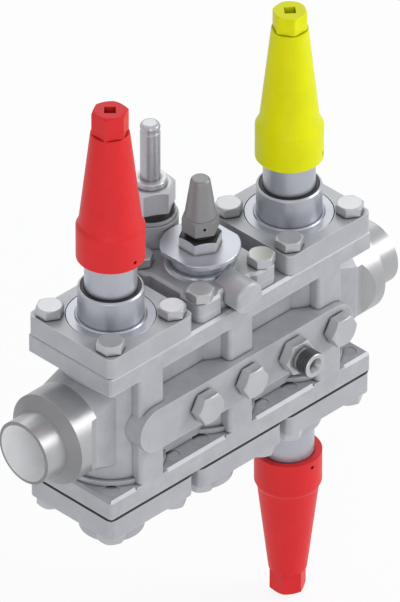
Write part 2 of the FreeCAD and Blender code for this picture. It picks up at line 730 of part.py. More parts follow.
def make_yellow_cap(name, x, z, flip, shoulder):
    """Yellow cap of the regulating valve: skirt, longer taper and a plain hexagon."""
    rim = f"({COVER_TOP} + cap_rim_height - yellow_cap_rim_drop)"
    skirt_top = f"({rim} + cap_skirt_height)"
    cone_base = f"({skirt_top} + yellow_cap_chamfer_height)"
    cone_top = f"({rim} + yellow_cap_cone_top)"
    end = f"({rim} + yellow_cap_height)"
    corner = "(yellow_cap_hex_width / 2 / cos(30deg))"
    cap = turned(name, [
        ("gland_radius + cap_bore_clearance", rim), ("cap_skirt_radius", rim),
        ("cap_skirt_radius", skirt_top),
        ("yellow_cap_cone_base_radius", cone_base), ("yellow_cap_cone_tip_radius", cone_top),
        (f"{corner} - 0.5", cone_top), (f"{corner} - 0.5", f"{end} - 1"),
        (f"{corner} - 1.5", end), ("0", end), ("0", f"{end} - cap_end_thickness"),
        ("yellow_cap_cone_tip_radius - cap_wall", f"{end} - cap_end_thickness"),
        ("gland_radius - 2.2", shoulder), ("gland_radius + cap_bore_clearance", shoulder)])
    hex_cut(cap, "yellow_cap_hex_width", cone_top, f"{end} + 1")
    pocket(cap, "XY_Plane", f"{end} - cap_socket_depth", f"{end} + 1", square("cap_socket_width", 65))
    pocket(cap, "XZ_Plane", "0", "cap_skirt_radius + 1",
           circle("0", f"{rim} + cap_hole_height", "cap_hole_radius"))
    return keep(place(cap, x, "0", z, (0, 0, 1), 30))


def make_seats():
    """Pressed seat rings on both sides of the partitions, as one node."""
    rings = []
    places = [(axis, 0) for axis in AXES] + [(axis, 180) for axis in (MIDDLE_AXIS, LAST_AXIS)]
    for count, (axis, angle) in enumerate(places, start=1):
        ring = turned(f"seat_ring_{count}", [
            ("seat_bore_radius", "0"), ("seat_outer_radius - fit_play", "0"),
            ("seat_outer_radius - fit_play", "partition_half_thickness"),
            ("seat_bore_radius", "partition_half_thickness")])
        rings.append(place(ring, axis, "0", "0", (1, 0, 0), angle))
    group = doc.addObject("Part::Compound", "valve_seats")
    group.Links = rings
    keep(group)


def make_blank_cover(name, x, guide):
    """Lower cover with a closed neck. The check module's cover carries the stem guide."""
    body = new_body(name)
    side = "housing_half_width"
    pad(body, "XY_Plane", "housing_half_height", COVER_TOP, box(f"-{side}", f"-{side}", side, side))
    dress(body, "Fillet", "cover_corner_radius", corner_edge(value(side)))
    holes = [circle(across, up, "screw_radius + screw_hole_clearance") for across, up in bolt_centres()]
    pocket(body, "XY_Plane", "housing_half_height - 1", f"{COVER_TOP} + 1", *holes)
    neck_end = f"({COVER_TOP} + blank_neck_height)"
    spigot = "(housing_half_height - chamber_mouth_depth - gasket_thickness)"
    revolve(body, [
        ("0", spigot), ("chamber_mouth_radius - fit_play", spigot),
        ("chamber_mouth_radius - fit_play", "housing_half_height + 1"), ("bonnet_ring_radius", COVER_TOP),
        ("bonnet_ring_radius - 0.8", f"{COVER_TOP} + 1.2"), ("blank_neck_radius", f"{COVER_TOP} + 1.2"),
        ("blank_neck_radius", f"{neck_end} - 1.5"), ("blank_neck_radius - 1.5", neck_end), ("0", neck_end)])
    if guide:
        guide_top = f"({spigot} - check_guide_height)"
        pad(body, "XY_Plane", guide_top, spigot, circle("0", "0", "check_guide_radius"))
        pocket(body, "XY_Plane", f"{guide_top} - 1", f"{spigot} + check_travel",
               circle("0", "0", "check_stem_radius + fit_play"))
    return keep(place(body, x, "0", "-gasket_thickness", (0, 1, 0), 180))


def make_strainer():
    """Basket strainer: top ring under the partition, open windows and a closed foot."""
    top = "-partition_half_thickness"
    foot = "-(housing_half_height - chamber_mouth_depth)"
    inner = "(strainer_radius - strainer_wall)"
    body = turned("strainer_basket", [
        (inner, top), ("chamber_radius - fit_play", top),
        ("chamber_radius - fit_play", f"{top} - strainer_ring_height"),
        ("strainer_radius", f"{top} - strainer_ring_height"), ("strainer_radius", foot), ("0", foot),
        ("0", f"{foot} + strainer_foot_thickness"), (inner, f"{foot} + strainer_foot_thickness")])
    reach = "strainer_radius + 1"
    half = "strainer_window_share * strainer_radius"
    window = box(f"-{half}", f"{foot} + strainer_window_foot", half, f"{top} - strainer_window_top")
    pocket(body, "XZ_Plane", f"-({reach})", reach, window)
    pocket(body, "YZ_Plane", f"-({reach})", reach, window)
    return keep(place(body, FIRST_AXIS))


def make_check_parts():
    """Spring-loaded check disc under the middle partition."""
    top = "-partition_half_thickness"
    under = f"({top} - check_disc_thickness)"
    guide_top = "(-housing_half_height + chamber_mouth_depth + check_guide_height)"
    disc = turned("check_disc", [
        ("0", top), ("check_disc_radius", top), ("check_disc_radius", under),
        ("check_stem_radius + 1.5", under), ("check_stem_radius", f"{under} - 2"),
        ("check_stem_radius", f"{guide_top} - check_travel - 4"), ("0", f"{guide_top} - check_travel - 4")])
    keep(place(disc, MIDDLE_AXIS))
    spring = turned("check_spring", [
        ("check_guide_radius + 1", under), ("check_guide_radius + 3", under),
        ("check_guide_radius + 3", "-housing_half_height + chamber_mouth_depth"),
        ("check_guide_radius + 1", "-housing_half_height + chamber_mouth_depth")])
    keep(place(spring, MIDDLE_AXIS))


def lobed_outline():
    """Outline of the solenoid module's plates: a square whose sides are waisted between the screws."""
    outer = "(housing_half_width - plate_inset)"
    inner = f"({outer} - plate_waist)"
    near = "plate_waist_half_length"
    far = "(plate_waist_half_length + plate_waist)"
    side = [(outer, f"-{outer}"), (outer, f"-{far}"), (inner, f"-{near}"), (inner, near), (outer, far)]
    outline = []
    for _ in range(4):
        outline.extend(side)
        side = [(f"-({up})", across) for across, up in side]
    return outline


def lobed_plate(body, low, high):
    """Waisted plate with rounded corners."""
    pad(body, "XY_Plane", low, high, lobed_outline())
    corner = corner_edge(value("housing_half_width") - value("plate_inset"))
    dress(body, "Fillet", "plate_corner_radius", corner)


def coil_boss(body, low, high, radius):
    """Round boss under the armature tube with its web to the plate."""
    half = "coil_web_share * coil_boss_radius"
    pad(body, "XY_Plane", low, high, box(f"-{half}", "0", half, "coil_offset"))
    pad(body, "XY_Plane", low, high, circle("0", "coil_offset", radius))


def make_solenoid_spacer():
    """Lower plate of the solenoid module with its spigot, lip and the piston sleeve."""
    body = new_body("solenoid_spacer")
    low = "housing_half_height"
    high = "(housing_half_height + spacer_thickness)"
    lobed_plate(body, low, high)
    coil_boss(body, low, high, "coil_boss_radius")
    # Lower part of the round front boss, which hangs over the flange's edge
    tongue_axis = f"({COVER_TOP} - tongue_axis_drop)"
    reach = "tongue_reach - tongue_lip_inset"
    pad(body, "XZ_Plane", "seat_outer_radius", reach, circle("0", tongue_axis, "tongue_radius"))
    half = "(tongue_radius + 1)"
    pocket(body, "XY_Plane", high, f"{tongue_axis} + {half}", box(f"-{half}", f"-({reach}) - 1", half, "0"))
    pocket(body, "XY_Plane", f"{tongue_axis} - {half}", low,
           box(f"-{half}", "-housing_half_width - free_play", half, "0"))
    holes = [circle(across, up, "screw_radius + screw_hole_clearance") for across, up in bolt_centres()]
    pocket(body, "XY_Plane", f"{low} - 1", f"{high} + 1", *holes)
    mouth = "(housing_half_height - chamber_mouth_depth)"
    sleeve_end = "(housing_half_height - piston_sleeve_depth)"
    revolve(body, [
        ("0", high), ("0", PISTON_CEILING), ("piston_radius + free_play", PISTON_CEILING),
        ("piston_radius + free_play", sleeve_end),
        ("chamber_radius - fit_play", sleeve_end), ("chamber_radius - fit_play", mouth),
        ("chamber_mouth_radius - fit_play", mouth), ("chamber_mouth_radius - fit_play", f"{low} + 1"),
        ("chamber_mouth_radius - fit_play", high)])
    pocket(body, "XY_Plane", f"{PISTON_CEILING} - 1", f"{high} + 1", circle("0", "0", "2 * stem_radius"))
    return keep(place(body, MIDDLE_AXIS))


def make_solenoid_cover():
    """Upper plate of the solenoid module: waisted sides, round front boss and the coil boss."""
    body = new_body("solenoid_cover")
    low = "(housing_half_height + spacer_thickness)"
    lobed_plate(body, low, COVER_TOP)
    top = value("housing_half_height") + value("cover_thickness")

    def top_edge(edge):
        return abs(edge.BoundBox.ZMin - top) < 0.01

    dress(body, "Chamfer", "plate_chamfer", top_edge)
    tongue_axis = f"({COVER_TOP} - tongue_axis_drop)"
    tongue_root = "dome_neck_radius"
    pad(body, "XZ_Plane", tongue_root, "tongue_reach",
        box("-tongue_radius", low, "tongue_radius", tongue_axis))
    pad(body, "XZ_Plane", tongue_root, "tongue_reach", circle("0", tongue_axis, "tongue_radius"))
    under = "(tongue_radius + 1)"
    pocket(body, "XY_Plane", f"{tongue_axis} - {under}", low,
           box(f"-{under}", "-tongue_reach - 1", under, "0"))
    reach = value("tongue_reach")

    def tongue_end(edge):
        frame = edge.BoundBox
        return abs(frame.YMin + reach) < 0.01 and frame.YLength < 0.01 and frame.ZLength > 1

    dress(body, "Fillet", "tongue_edge_radius", tongue_end)
    boss_top = f"({COVER_TOP} + coil_boss_height)"
    coil_boss(body, low, COVER_TOP, "coil_boss_radius")
    pad(body, "XY_Plane", low, f"{boss_top} - 3", circle("0", "coil_offset", "coil_boss_radius"))
    pad(body, "XY_Plane", low, boss_top, circle("0", "coil_offset", "coil_boss_radius - 1.5"))
    holes = [circle(across, up, "screw_radius + screw_hole_clearance") for across, up in bolt_centres()]
    holes.append(circle("0", "0", "2 * stem_radius"))
    pocket(body, "XY_Plane", f"{low} - 1", f"{COVER_TOP} + 1", *holes)
    # Round recess that lets the domed stem housing stand between the two bosses
    pocket(body, "XY_Plane", COVER_TOP, f"{boss_top} + 1", circle("0", "0", "dome_base_radius + free_play"))
    pocket(body, "XY_Plane", f"{boss_top} - coil_ring_height", f"{boss_top} + 1",
           circle("0", "coil_offset", "coil_foot_radius + fit_play"))
    return keep(place(body, MIDDLE_AXIS))


def make_stem_parts():
    """Domed stem housing, nut, seal cap, lifter and manual opening stem."""
    disc_low = f"({COVER_TOP} + dome_height)"
    disc_top = f"({disc_low} + dome_disc_thickness)"
    bore = "(2 * stem_radius)"
    neck_top = f"({COVER_TOP} + dome_neck_height)"
    ring_top = f"({COVER_TOP} + dome_ring_height)"
    dome = turned("stem_housing", [
        (bore, COVER_TOP), ("dome_base_radius", COVER_TOP), ("dome_base_radius - 1.6", f"{COVER_TOP} + 0.7"),
        ("dome_ring_radius", ring_top), ("dome_neck_radius", f"{ring_top} + 0.3"),
        ("dome_neck_radius", neck_top), ("dome_waist_radius", f"{neck_top} + 2"),
        ("dome_waist_radius", disc_low), ("dome_disc_radius", disc_low),
        ("dome_disc_radius", f"{disc_top} - 0.5"), ("dome_disc_radius - 0.5", disc_top), (bore, disc_top)])
    pocket(dome, "XY_Plane", f"{disc_low} - 1", f"{disc_top} + 1",
           box("dome_flat_width / 2", "-dome_disc_radius", "dome_disc_radius + 1", "dome_disc_radius"),
           box("-dome_disc_radius - 1", "-dome_disc_radius", "-dome_flat_width / 2", "dome_disc_radius"))
    keep(place(dome, MIDDLE_AXIS))
    nut_top = f"({disc_top} + stem_nut_height)"
    collar_top = f"({nut_top} + stem_neck_height)"
    thread_top = f"({collar_top} + stem_thread_height)"
    corner = "(stem_nut_width / 2 / cos(30deg))"
    nut = turned("stem_nut", [
        ("stem_radius + fit_play", disc_top), (corner, disc_top), (corner, f"{nut_top} - hex_crown_drop"),
        ("hex_crown_share * stem_nut_width", nut_top), ("stem_neck_radius", nut_top),
        ("stem_neck_radius", collar_top), ("stem_thread_radius", collar_top),
        ("stem_thread_radius", thread_top), ("stem_radius + fit_play", thread_top)])
    hex_cut(nut, "stem_nut_width", disc_top, nut_top)
    keep(place(nut, MIDDLE_AXIS))
    make_seal_cap(collar_top)
    lifter_top = f"({disc_top} - stem_travel - free_play)"
    lifter_low = f"({lifter_top} - lifter_height)"
    lifter = turned("stem_lifter", [
        ("stem_radius + fit_play", lifter_low), ("2 * stem_radius - free_play", lifter_low),
        ("2 * stem_radius - free_play", lifter_top), ("stem_radius + fit_play", lifter_top)])
    keep(place(lifter, MIDDLE_AXIS))
    stem_end = f"({thread_top} + stem_end_reach)"
    stem_foot = "(housing_half_height + spacer_thickness - 2)"
    stem = turned("manual_stem", [
        ("0", stem_foot), ("stem_radius", stem_foot), ("stem_radius", f"{stem_end} - 1"),
        ("stem_radius - 1", stem_end), ("0", stem_end)])
    pocket(stem, "XY_Plane", f"{stem_end} - stem_square_length", f"{stem_end} + 1",
           circle("0", "0", "stem_radius + 3"), square("1.3 * stem_radius", 45))
    keep(place(stem, MIDDLE_AXIS))


def make_seal_cap(seat):
    """Seal cap over the manual stem: hexagon, taper and rounded tip."""
    hex_top = f"({seat} + seal_cap_hex_height)"
    cone_top = f"({hex_top} + seal_cap_cone_height)"
    tip = f"({cone_top} + seal_cap_tip_height)"
    corner = "(seal_cap_hex_width / 2 / cos(30deg))"
    inner = "(stem_thread_radius + free_play)"
    bore_foot = f"({seat} + stem_thread_height + 1)"
    cap = turned("seal_cap", [
        (inner, seat), (corner, seat), (corner, f"{hex_top} - seal_cap_crown_drop"),
        ("seal_cap_crown_share * seal_cap_hex_width", hex_top),
        ("seal_cap_cone_base_radius", hex_top), ("seal_cap_cone_tip_radius", cone_top),
        ("seal_cap_cone_tip_radius - 0.5", f"{cone_top} + 1.6"), ("seal_cap_tip_radius", tip), ("0", tip),
        ("0", f"{cone_top} - 8"), ("seal_cap_bore_radius", f"{cone_top} - 8"),
        ("seal_cap_bore_radius", bore_foot), (inner, bore_foot)])
    hex_cut(cap, "seal_cap_hex_width", seat, hex_top, turn=0)
    pocket(cap, "XZ_Plane", "0", corner,
           circle("0", f"{seat} + seal_cap_hex_height / 2", "seal_cap_hole_radius"))
    return keep(place(cap, MIDDLE_AXIS, "0", "0", (0, 0, 1), -30))


def make_coil_parts():
    """Armature tube of the solenoid with its ring, nut and armature. The coil itself is not fitted."""
    boss_top = f"({COVER_TOP} + coil_boss_height)"
    ring_top = f"({boss_top} + coil_ring_height)"
    nut_top = f"({ring_top} + coil_nut_height)"
    collar_top = f"({nut_top} + coil_nut_collar_height)"
    foot = f"({boss_top} - coil_ring_height)"
    end = f"({boss_top} + coil_tube_height)"
    bore = "(coil_foot_radius + fit_play)"
    ring = turned("coil_ring", [
        (bore, boss_top), ("coil_ring_radius", boss_top), ("coil_ring_radius", ring_top), (bore, ring_top)])
    keep(place(ring, MIDDLE_AXIS, "coil_offset"))
    corner = "(coil_nut_width / 2 / cos(30deg))"
    nut = turned("coil_nut", [
        (bore, ring_top), (corner, ring_top), (corner, f"{nut_top} - coil_nut_crown_drop"),
        ("hex_crown_share * coil_nut_width", nut_top),
        ("coil_nut_collar_radius", nut_top), ("coil_nut_collar_radius", f"{collar_top} - 0.8"),
        ("coil_nut_collar_radius - 0.8", collar_top), (bore, collar_top)])
    hex_cut(nut, "coil_nut_width", ring_top, nut_top)
    keep(place(nut, MIDDLE_AXIS, "coil_offset"))
    inner = "(coil_tube_radius - coil_tube_wall)"
    core_low = f"({foot} + 3)"
    core_top = f"({core_low} + armature_height)"
    stop = f"({core_top} + armature_travel + free_play)"
    room_top = f"({stop} + armature_spring_room)"
    tube = turned("coil_tube", [
        ("0", foot), ("coil_foot_radius", foot), ("coil_foot_radius", f"{collar_top} + free_play"),
        ("coil_tube_radius", f"{collar_top} + free_play"), ("coil_tube_radius", f"{end} - 7.5"),
        ("coil_tube_radius - coil_tube_groove_depth", f"{end} - 7"),
        ("coil_tube_radius - coil_tube_groove_depth", f"{end} - 4.5"), ("coil_tube_radius", f"{end} - 4"),
        ("coil_tube_radius", f"{end} - 2.6"), ("coil_tube_radius - 0.9", f"{end} - 0.9"),
        ("coil_tube_tip_share * coil_tube_radius", end), ("0", end), ("0", room_top),
        ("armature_spring_bore_radius", room_top), ("armature_spring_bore_radius", stop),
        (inner, stop), (inner, core_low), ("0", core_low)])
    keep(place(tube, MIDDLE_AXIS, "coil_offset"))
    armature = turned("armature", [
        ("0", core_low), (f"{inner} - fit_play", core_low), (f"{inner} - fit_play", core_top),
        ("0", core_top)])
    keep(place(armature, MIDDLE_AXIS, "coil_offset"))
    spring = turned("armature_spring", [
        ("armature_spring_inner_radius", core_top), ("armature_spring_outer_radius", core_top),
        ("armature_spring_outer_radius", room_top), ("armature_spring_inner_radius", room_top)])
    keep(place(spring, MIDDLE_AXIS, "coil_offset"))


def make_piston_parts():
    """Servo piston of the solenoid module with its closing spring."""
    seat = "partition_half_thickness"
    back = f"({seat} + cone_thickness)"
    waist = "piston_waist_share * piston_radius"
    cup_floor = f"({PISTON_TOP} - piston_cup_depth)"
    piston = turned("servo_piston", [
        ("0", seat), ("cone_radius", seat), ("cone_radius", back), (waist, f"{back} + 1"),
        (waist, f"{PISTON_TOP} - piston_head_height - 2"),
        ("piston_radius", f"{PISTON_TOP} - piston_head_height"),
        ("piston_radius", PISTON_TOP), ("piston_radius - piston_cup_wall", PISTON_TOP),
        ("piston_radius - piston_cup_wall", cup_floor), ("0", cup_floor)])
    keep(place(piston, MIDDLE_AXIS))
    outer = "(piston_radius - piston_spring_inset)"
    inner = f"({outer} - piston_spring_wall)"
    spring = turned("piston_spring", [
        (inner, cup_floor), (outer, cup_floor), (outer, PISTON_CEILING), (inner, PISTON_CEILING)])
    keep(place(spring, MIDDLE_AXIS))


def make_port_fittings():
    """Plugs in three service ports, the threaded connector in the fourth, and their gaskets."""
    corner = "(plug_head_width / 2 / cos(30deg))"
    head = "plug_gasket_thickness"
    top = f"({head} + plug_head_height)"
    shank = "-port_shank_share * port_depth"
    shank_radius = "(port_radius - fit_play)"
    plugs = []
    gaskets = []
    for count in (1, 2, 3, 4):
        x = f"{FIRST_AXIS} + {count} * {PORT_STEP}"
        seat = turned(f"port_gasket_{count}", [
            ("port_radius + 0.2", "0"), ("plug_gasket_share * plug_head_width", "0"),
            ("plug_gasket_share * plug_head_width", head), ("port_radius + 0.2", head)])
        gaskets.append(place(seat, x, f"-{PORT_FACE}", "0", (1, 0, 0), 90))
        if count == 3:
            continue
        plug = turned(f"port_plug_{count}", [
            ("0", shank), (shank_radius, shank), (shank_radius, head), (corner, head),
            (corner, f"{top} - hex_crown_drop"), ("hex_crown_share * plug_head_width", top), ("0", top)])
        hex_cut(plug, "plug_head_width", head, f"{top} + 1", turn=0)
        plugs.append(place(plug, x, f"-{PORT_FACE}", "0", (1, 0, 0), 90))
    for name, pieces in (("port_plugs", plugs), ("port_gaskets", gaskets)):
        group = doc.addObject("Part::Compound", name)
        group.Links = pieces
        keep(group)
    hex_corner = "(connector_hex_width / 2 / cos(30deg))"
    neck = f"({top} + connector_neck_length)"
    connector = turned("port_connector", [
        ("connector_bore_radius", shank), (shank_radius, shank), (shank_radius, head), (hex_corner, head),
        (hex_corner, f"{top} - hex_crown_drop"), ("hex_crown_share * connector_hex_width", top),
        ("connector_thread_radius - 1.5", top),
        ("connector_thread_radius - 1.5", neck), ("connector_thread_radius", f"{neck} + 0.8"),
        ("connector_thread_radius", "connector_reach - 1"),
        ("connector_thread_radius - 1", "connector_reach"),
        ("connector_mouth_radius", "connector_reach"), ("connector_bore_radius", "connector_reach - 5")])
    hex_cut(connector, "connector_hex_width", head, top, turn=0)
    keep(place(connector, f"{FIRST_AXIS} + 3 * {PORT_STEP}", f"-{PORT_FACE}", "0", (1, 0, 0), 90))


make_housing()
make_nozzle("inlet_nozzle", "0", 90)
make_nozzle("outlet_nozzle", STATION_LENGTH, -90)
make_seats()
make_spindle_module("inlet_stop", FIRST_AXIS, make_red_cap)
make_spindle_module("regulating", LAST_AXIS, make_yellow_cap)
make_spindle_module("outlet_stop", LAST_AXIS, make_red_cap, down=True)
for lower, axis in (("strainer", FIRST_AXIS), ("check", MIDDLE_AXIS), ("outlet_stop", LAST_AXIS)):
    make_gasket(f"{lower}_gasket", axis)
for lower, axis in (("strainer", FIRST_AXIS), ("check", MIDDLE_AXIS)):
    make_blank_cover(f"{lower}_cover", axis, guide=lower == "check")
    make_screws(f"{lower}_screws", axis, COVER_TOP, "-gasket_thickness", down=True)
make_strainer()
make_check_parts()
make_solenoid_spacer()
make_solenoid_cover()
make_screws("solenoid_screws", MIDDLE_AXIS, COVER_TOP)
make_stem_parts()
make_coil_parts()
make_piston_parts()
make_port_fittings()

doc.recompute()
for thing in doc.Objects:
    if "Invalid" in thing.State or "Error" in thing.State:
        raise ValueError(f"{thing.Name} failed: {thing.State}")
for node in nodes:
    if node.Shape.isNull() or not node.Shape.isValid():
        raise ValueError(f"{node.Label} has no valid shape")

os.makedirs("parts", exist_ok=True)
for node in nodes:
    node.Shape.exportStep(f"parts/{node.Label}.step")
print(f"{len(nodes)} nodes written")
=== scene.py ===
import logging
import math
from collections.abc import Callable
from dataclasses import dataclass, field, replace
from enum import Enum

import bpy
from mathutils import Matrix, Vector


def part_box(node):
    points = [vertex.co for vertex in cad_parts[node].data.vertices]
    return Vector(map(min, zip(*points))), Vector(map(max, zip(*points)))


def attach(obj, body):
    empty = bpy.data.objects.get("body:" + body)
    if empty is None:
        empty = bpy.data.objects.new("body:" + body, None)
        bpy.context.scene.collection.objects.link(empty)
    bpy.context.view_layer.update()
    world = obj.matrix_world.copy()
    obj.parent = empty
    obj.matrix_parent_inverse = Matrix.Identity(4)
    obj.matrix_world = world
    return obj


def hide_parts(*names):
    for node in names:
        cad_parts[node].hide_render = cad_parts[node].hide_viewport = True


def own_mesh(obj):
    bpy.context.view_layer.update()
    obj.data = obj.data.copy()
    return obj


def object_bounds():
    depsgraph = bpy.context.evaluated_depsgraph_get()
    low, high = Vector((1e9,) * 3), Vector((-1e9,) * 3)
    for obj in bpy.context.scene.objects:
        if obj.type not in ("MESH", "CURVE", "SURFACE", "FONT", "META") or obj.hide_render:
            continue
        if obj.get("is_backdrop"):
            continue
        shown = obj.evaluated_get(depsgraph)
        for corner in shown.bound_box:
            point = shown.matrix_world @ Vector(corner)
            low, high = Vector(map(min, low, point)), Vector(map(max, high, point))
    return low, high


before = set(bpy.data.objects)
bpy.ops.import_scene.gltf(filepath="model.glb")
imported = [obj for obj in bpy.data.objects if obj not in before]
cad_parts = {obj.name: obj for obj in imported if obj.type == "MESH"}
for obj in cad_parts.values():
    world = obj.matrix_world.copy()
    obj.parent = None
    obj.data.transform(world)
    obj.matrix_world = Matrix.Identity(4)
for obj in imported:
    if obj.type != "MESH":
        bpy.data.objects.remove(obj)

# Looks of the valve station. Lengths are metres unless a name ends in _mm.

# Short names for the types that pieces and finishes use.
Pair = tuple[float, float]
Triple = tuple[float, float, float]
Tree = bpy.types.NodeTree
Socket = bpy.types.NodeSocket
Piece = bpy.types.Object

log = logging.getLogger("valve_station")
MM = 0.001
ROOT = "station"
EDGE = 32.0             # degrees: what counts as an edge on most pieces
SHARP = 24.0            # degrees: the chamfer on a screw's head counts as an edge too
FLAT = 0.4              # degrees: triangles that meet flatter than this are one face
MERGE_MM = 0.002        # corners of a CAD copy that are closer than this are one
EDGE_SEGMENTS = 2       # faces across a rounded edge
SMALL_EDGE_MM = 0.3     # the rounding of screws and gaskets
SCREW_END_MM = 3.1      # the hanging screws' ends come up to the flange's top
FINE_REACH = 0.0008     # how far wear and a painted highlight come in from the edges of small and smooth pieces


class Direction(Enum):
    """The way a turned piece's axis points. Each value keeps only what lies across the axis."""

    FLOW = (0.0, 1.0, 1.0)
    UPRIGHT = (1.0, 1.0, 0.0)


@dataclass(frozen=True)
class Turning:
    """Fine tool rings round one axis."""

    centre: Triple
    direction: Direction
    rings_per_metre: float = 2600.0


@dataclass(frozen=True)
class Recipe:
    """What all finishes share: how clouds, grain, painted shade in corners and seams, edge wear with a
    painted highlight and tool rings are laid on.
    """

    noise_roughness: float = 0.6
    cloud_detail: float = 4.0
    cloud_band: Pair = (0.3, 0.7)
    gloss_spread: float = 0.12
    grain_detail: float = 3.0
    grain_height_mm: float = 0.1
    # Painted shade in corners and seams.
    shade_samples: int = 8
    shade_band: Pair = (0.35, 0.85)
    # Edge wear with a painted highlight along outside edges.
    wear_and_highlight_samples: int = 6
    wear_and_highlight_band: Pair = (0.45, 0.85)
    wear_and_highlight_gain: float = 1.5
    wear_and_highlight_lift: float = 0.06
    ring_detail: float = 2.0
    ring_share: float = 0.8


RECIPE = Recipe()


@dataclass(frozen=True)
class Finish:
    """One surface finish: colour, gloss, mottling, grain, painted shade in corners and seams, and worn
    edges with a painted highlight.

    Scales are per metre. A reach says how far the painted shade, or the wear with its painted highlight,
    comes out of its corner or edge.
    """

    name: str
    slot: str
    colour: Triple
    metallic: float
    roughness: float
    mottle: float = 0.06
    mottle_scale: float = 45.0
    grain: float = 0.08
    grain_scale: float = 1400.0
    # Painted shade in corners and seams.
    corner_shade: float = 0.45
    corner_reach: float = 0.004
    seam_shade: float = 0.8
    seam_reach: float = 0.0011
    # Edge wear with a painted highlight along outside edges.
    edge_wear_and_highlight: float = 0.0
    edge_reach: float = 0.0014
    specular: float = 0.5

    def material(self, turning: Turning | None = None) -> bpy.types.Material:
        """Build the node material.

        Args:
            turning: tool rings to add to the grain, if the piece is turned.

        Returns:
            The material.
        """
        suffix = "" if turning is None else "_turned"
        material = bpy.data.materials.new(f"{self.name}{suffix}")
        material.use_nodes = True
        tree = material.node_tree
        shader = tree.nodes["Principled BSDF"]
        shader.inputs["Metallic"].default_value = self.metallic
        shader.inputs["Specular IOR Level"].default_value = self.specular
        place = tree.nodes.new("ShaderNodeTexCoord").outputs["Object"]
        clouds = self._noise(tree, place, self.mottle_scale, RECIPE.cloud_detail)
        tree.links.new(self._colour(tree, clouds), shader.inputs["Base Color"])
        tree.links.new(self._gloss(tree, clouds), shader.inputs["Roughness"])
        height = self._noise(tree, place, self.grain_scale, RECIPE.grain_detail)
        if turning is not None:
            height = self._rings(tree, place, height, turning)
        tree.links.new(self._bump(tree, height), shader.inputs["Normal"])
        return material

    def _tinted(self, gain: float, lift: float = 0.0) -> tuple[float, ...]:
        """Give the finish's own colour, made darker or lighter."""
        return (*[min(1.0, part * gain + lift) for part in self.colour], 1.0)

    @staticmethod
    def _noise(tree: Tree, place: Socket, scale: float, detail: float) -> Socket:
        """Add a noise pattern.

        Args:
            tree: the material's nodes.
            place: the object coordinates.
            scale: the pattern's scale, per metre.
            detail: how many finer layers it has.

        Returns:
            The pattern's value.
        """
        noise = tree.nodes.new("ShaderNodeTexNoise")
        noise.inputs["Scale"].default_value = scale
        noise.inputs["Detail"].default_value = detail
        noise.inputs["Roughness"].default_value = RECIPE.noise_roughness
        tree.links.new(place, noise.inputs["Vector"])
        return noise.outputs["Fac"]

    @staticmethod
    def _mapped(tree: Tree, value: Socket, band: Pair, ends: Pair) -> Socket:
        """Map a value straight from one band to another.

        Args:
            tree: the material's nodes.
            value: the value.
            band: the band that the value runs through.
            ends: what it becomes at the band's two ends.

        Returns:
            The mapped value.
        """
        curve = tree.nodes.new("ShaderNodeMapRange")
        for name, number in zip(("From Min", "From Max", "To Min", "To Max"), (*band, *ends)):
            curve.inputs[name].default_value = number
        tree.links.new(value, curve.inputs["Value"])
        return curve.outputs["Result"]

    @staticmethod
    def _openness(tree: Tree, reach: float, samples: int, inside: bool) -> Socket:
        """Measure how much room a face has before the next one, in front of it or behind it.

        Args:
            tree: the material's nodes.
            reach: how far the measure looks.
            samples: in how many directions it looks.
            inside: look into the piece and not out of it.

        Returns:
            The measure, 1 where no other face is near.
        """
        shade = tree.nodes.new("ShaderNodeAmbientOcclusion")
        shade.samples = samples
        shade.inside = inside
        shade.inputs["Distance"].default_value = reach
        return shade.outputs["AO"]

    def _colour(self, tree: Tree, clouds: Socket) -> Socket:
        """Vary the colour with the clouds, paint shade into the corners and seams, and lighten the edges
        with wear and a painted highlight.

        Args:
            tree: the material's nodes.
            clouds: the mottling noise.

        Returns:
            The colour.
        """
        ramp = tree.nodes.new("ShaderNodeValToRGB")
        low, high = ramp.color_ramp.elements
        low.position, high.position = RECIPE.cloud_band
        low.color = self._tinted(1 - self.mottle)
        high.color = self._tinted(1 + self.mottle)
        tree.links.new(clouds, ramp.inputs["Fac"])
        colour = ramp.outputs["Color"]
        if self.corner_shade == 0:
            return colour
        # Painted shade in corners and seams, then wear with a painted highlight on outside edges.
        colour = self._shade_corners(tree, colour, self.corner_shade, self.corner_reach)
        colour = self._shade_corners(tree, colour, self.seam_shade, self.seam_reach)
        return self._worn_and_highlit(tree, colour) if self.edge_wear_and_highlight > 0 else colour

    def _shade_corners(self, tree: Tree, colour: Socket, shade_depth: float, reach: float) -> Socket:
        """Paint shade: darken the colour where other faces stand close.

        Args:
            tree: the material's nodes.
            colour: the colour so far.
            shade_depth: how much of the colour the painted shade takes away in the corner.
            reach: how far out of the corner the painted shade reaches.

        Returns:
            The colour with its painted shade.
        """
        shade = self._openness(tree, reach, RECIPE.shade_samples, inside=False)
        left = self._mapped(tree, shade, RECIPE.shade_band, (1 - shade_depth, 1.0))
        darkened = tree.nodes.new("ShaderNodeMix")
        darkened.data_type = "RGBA"
        darkened.blend_type = "MULTIPLY"
        darkened.inputs["Factor"].default_value = 1.0
        tree.links.new(colour, darkened.inputs["A"])
        tree.links.new(left, darkened.inputs["B"])
        return darkened.outputs["Result"]

    def _worn_and_highlit(self, tree: Tree, colour: Socket) -> Socket:
        """Lighten the colour along outside edges: wear, and a painted highlight.

        Args:
            tree: the material's nodes.
            colour: the colour so far.

        Returns:
            The colour with its worn edges.
        """
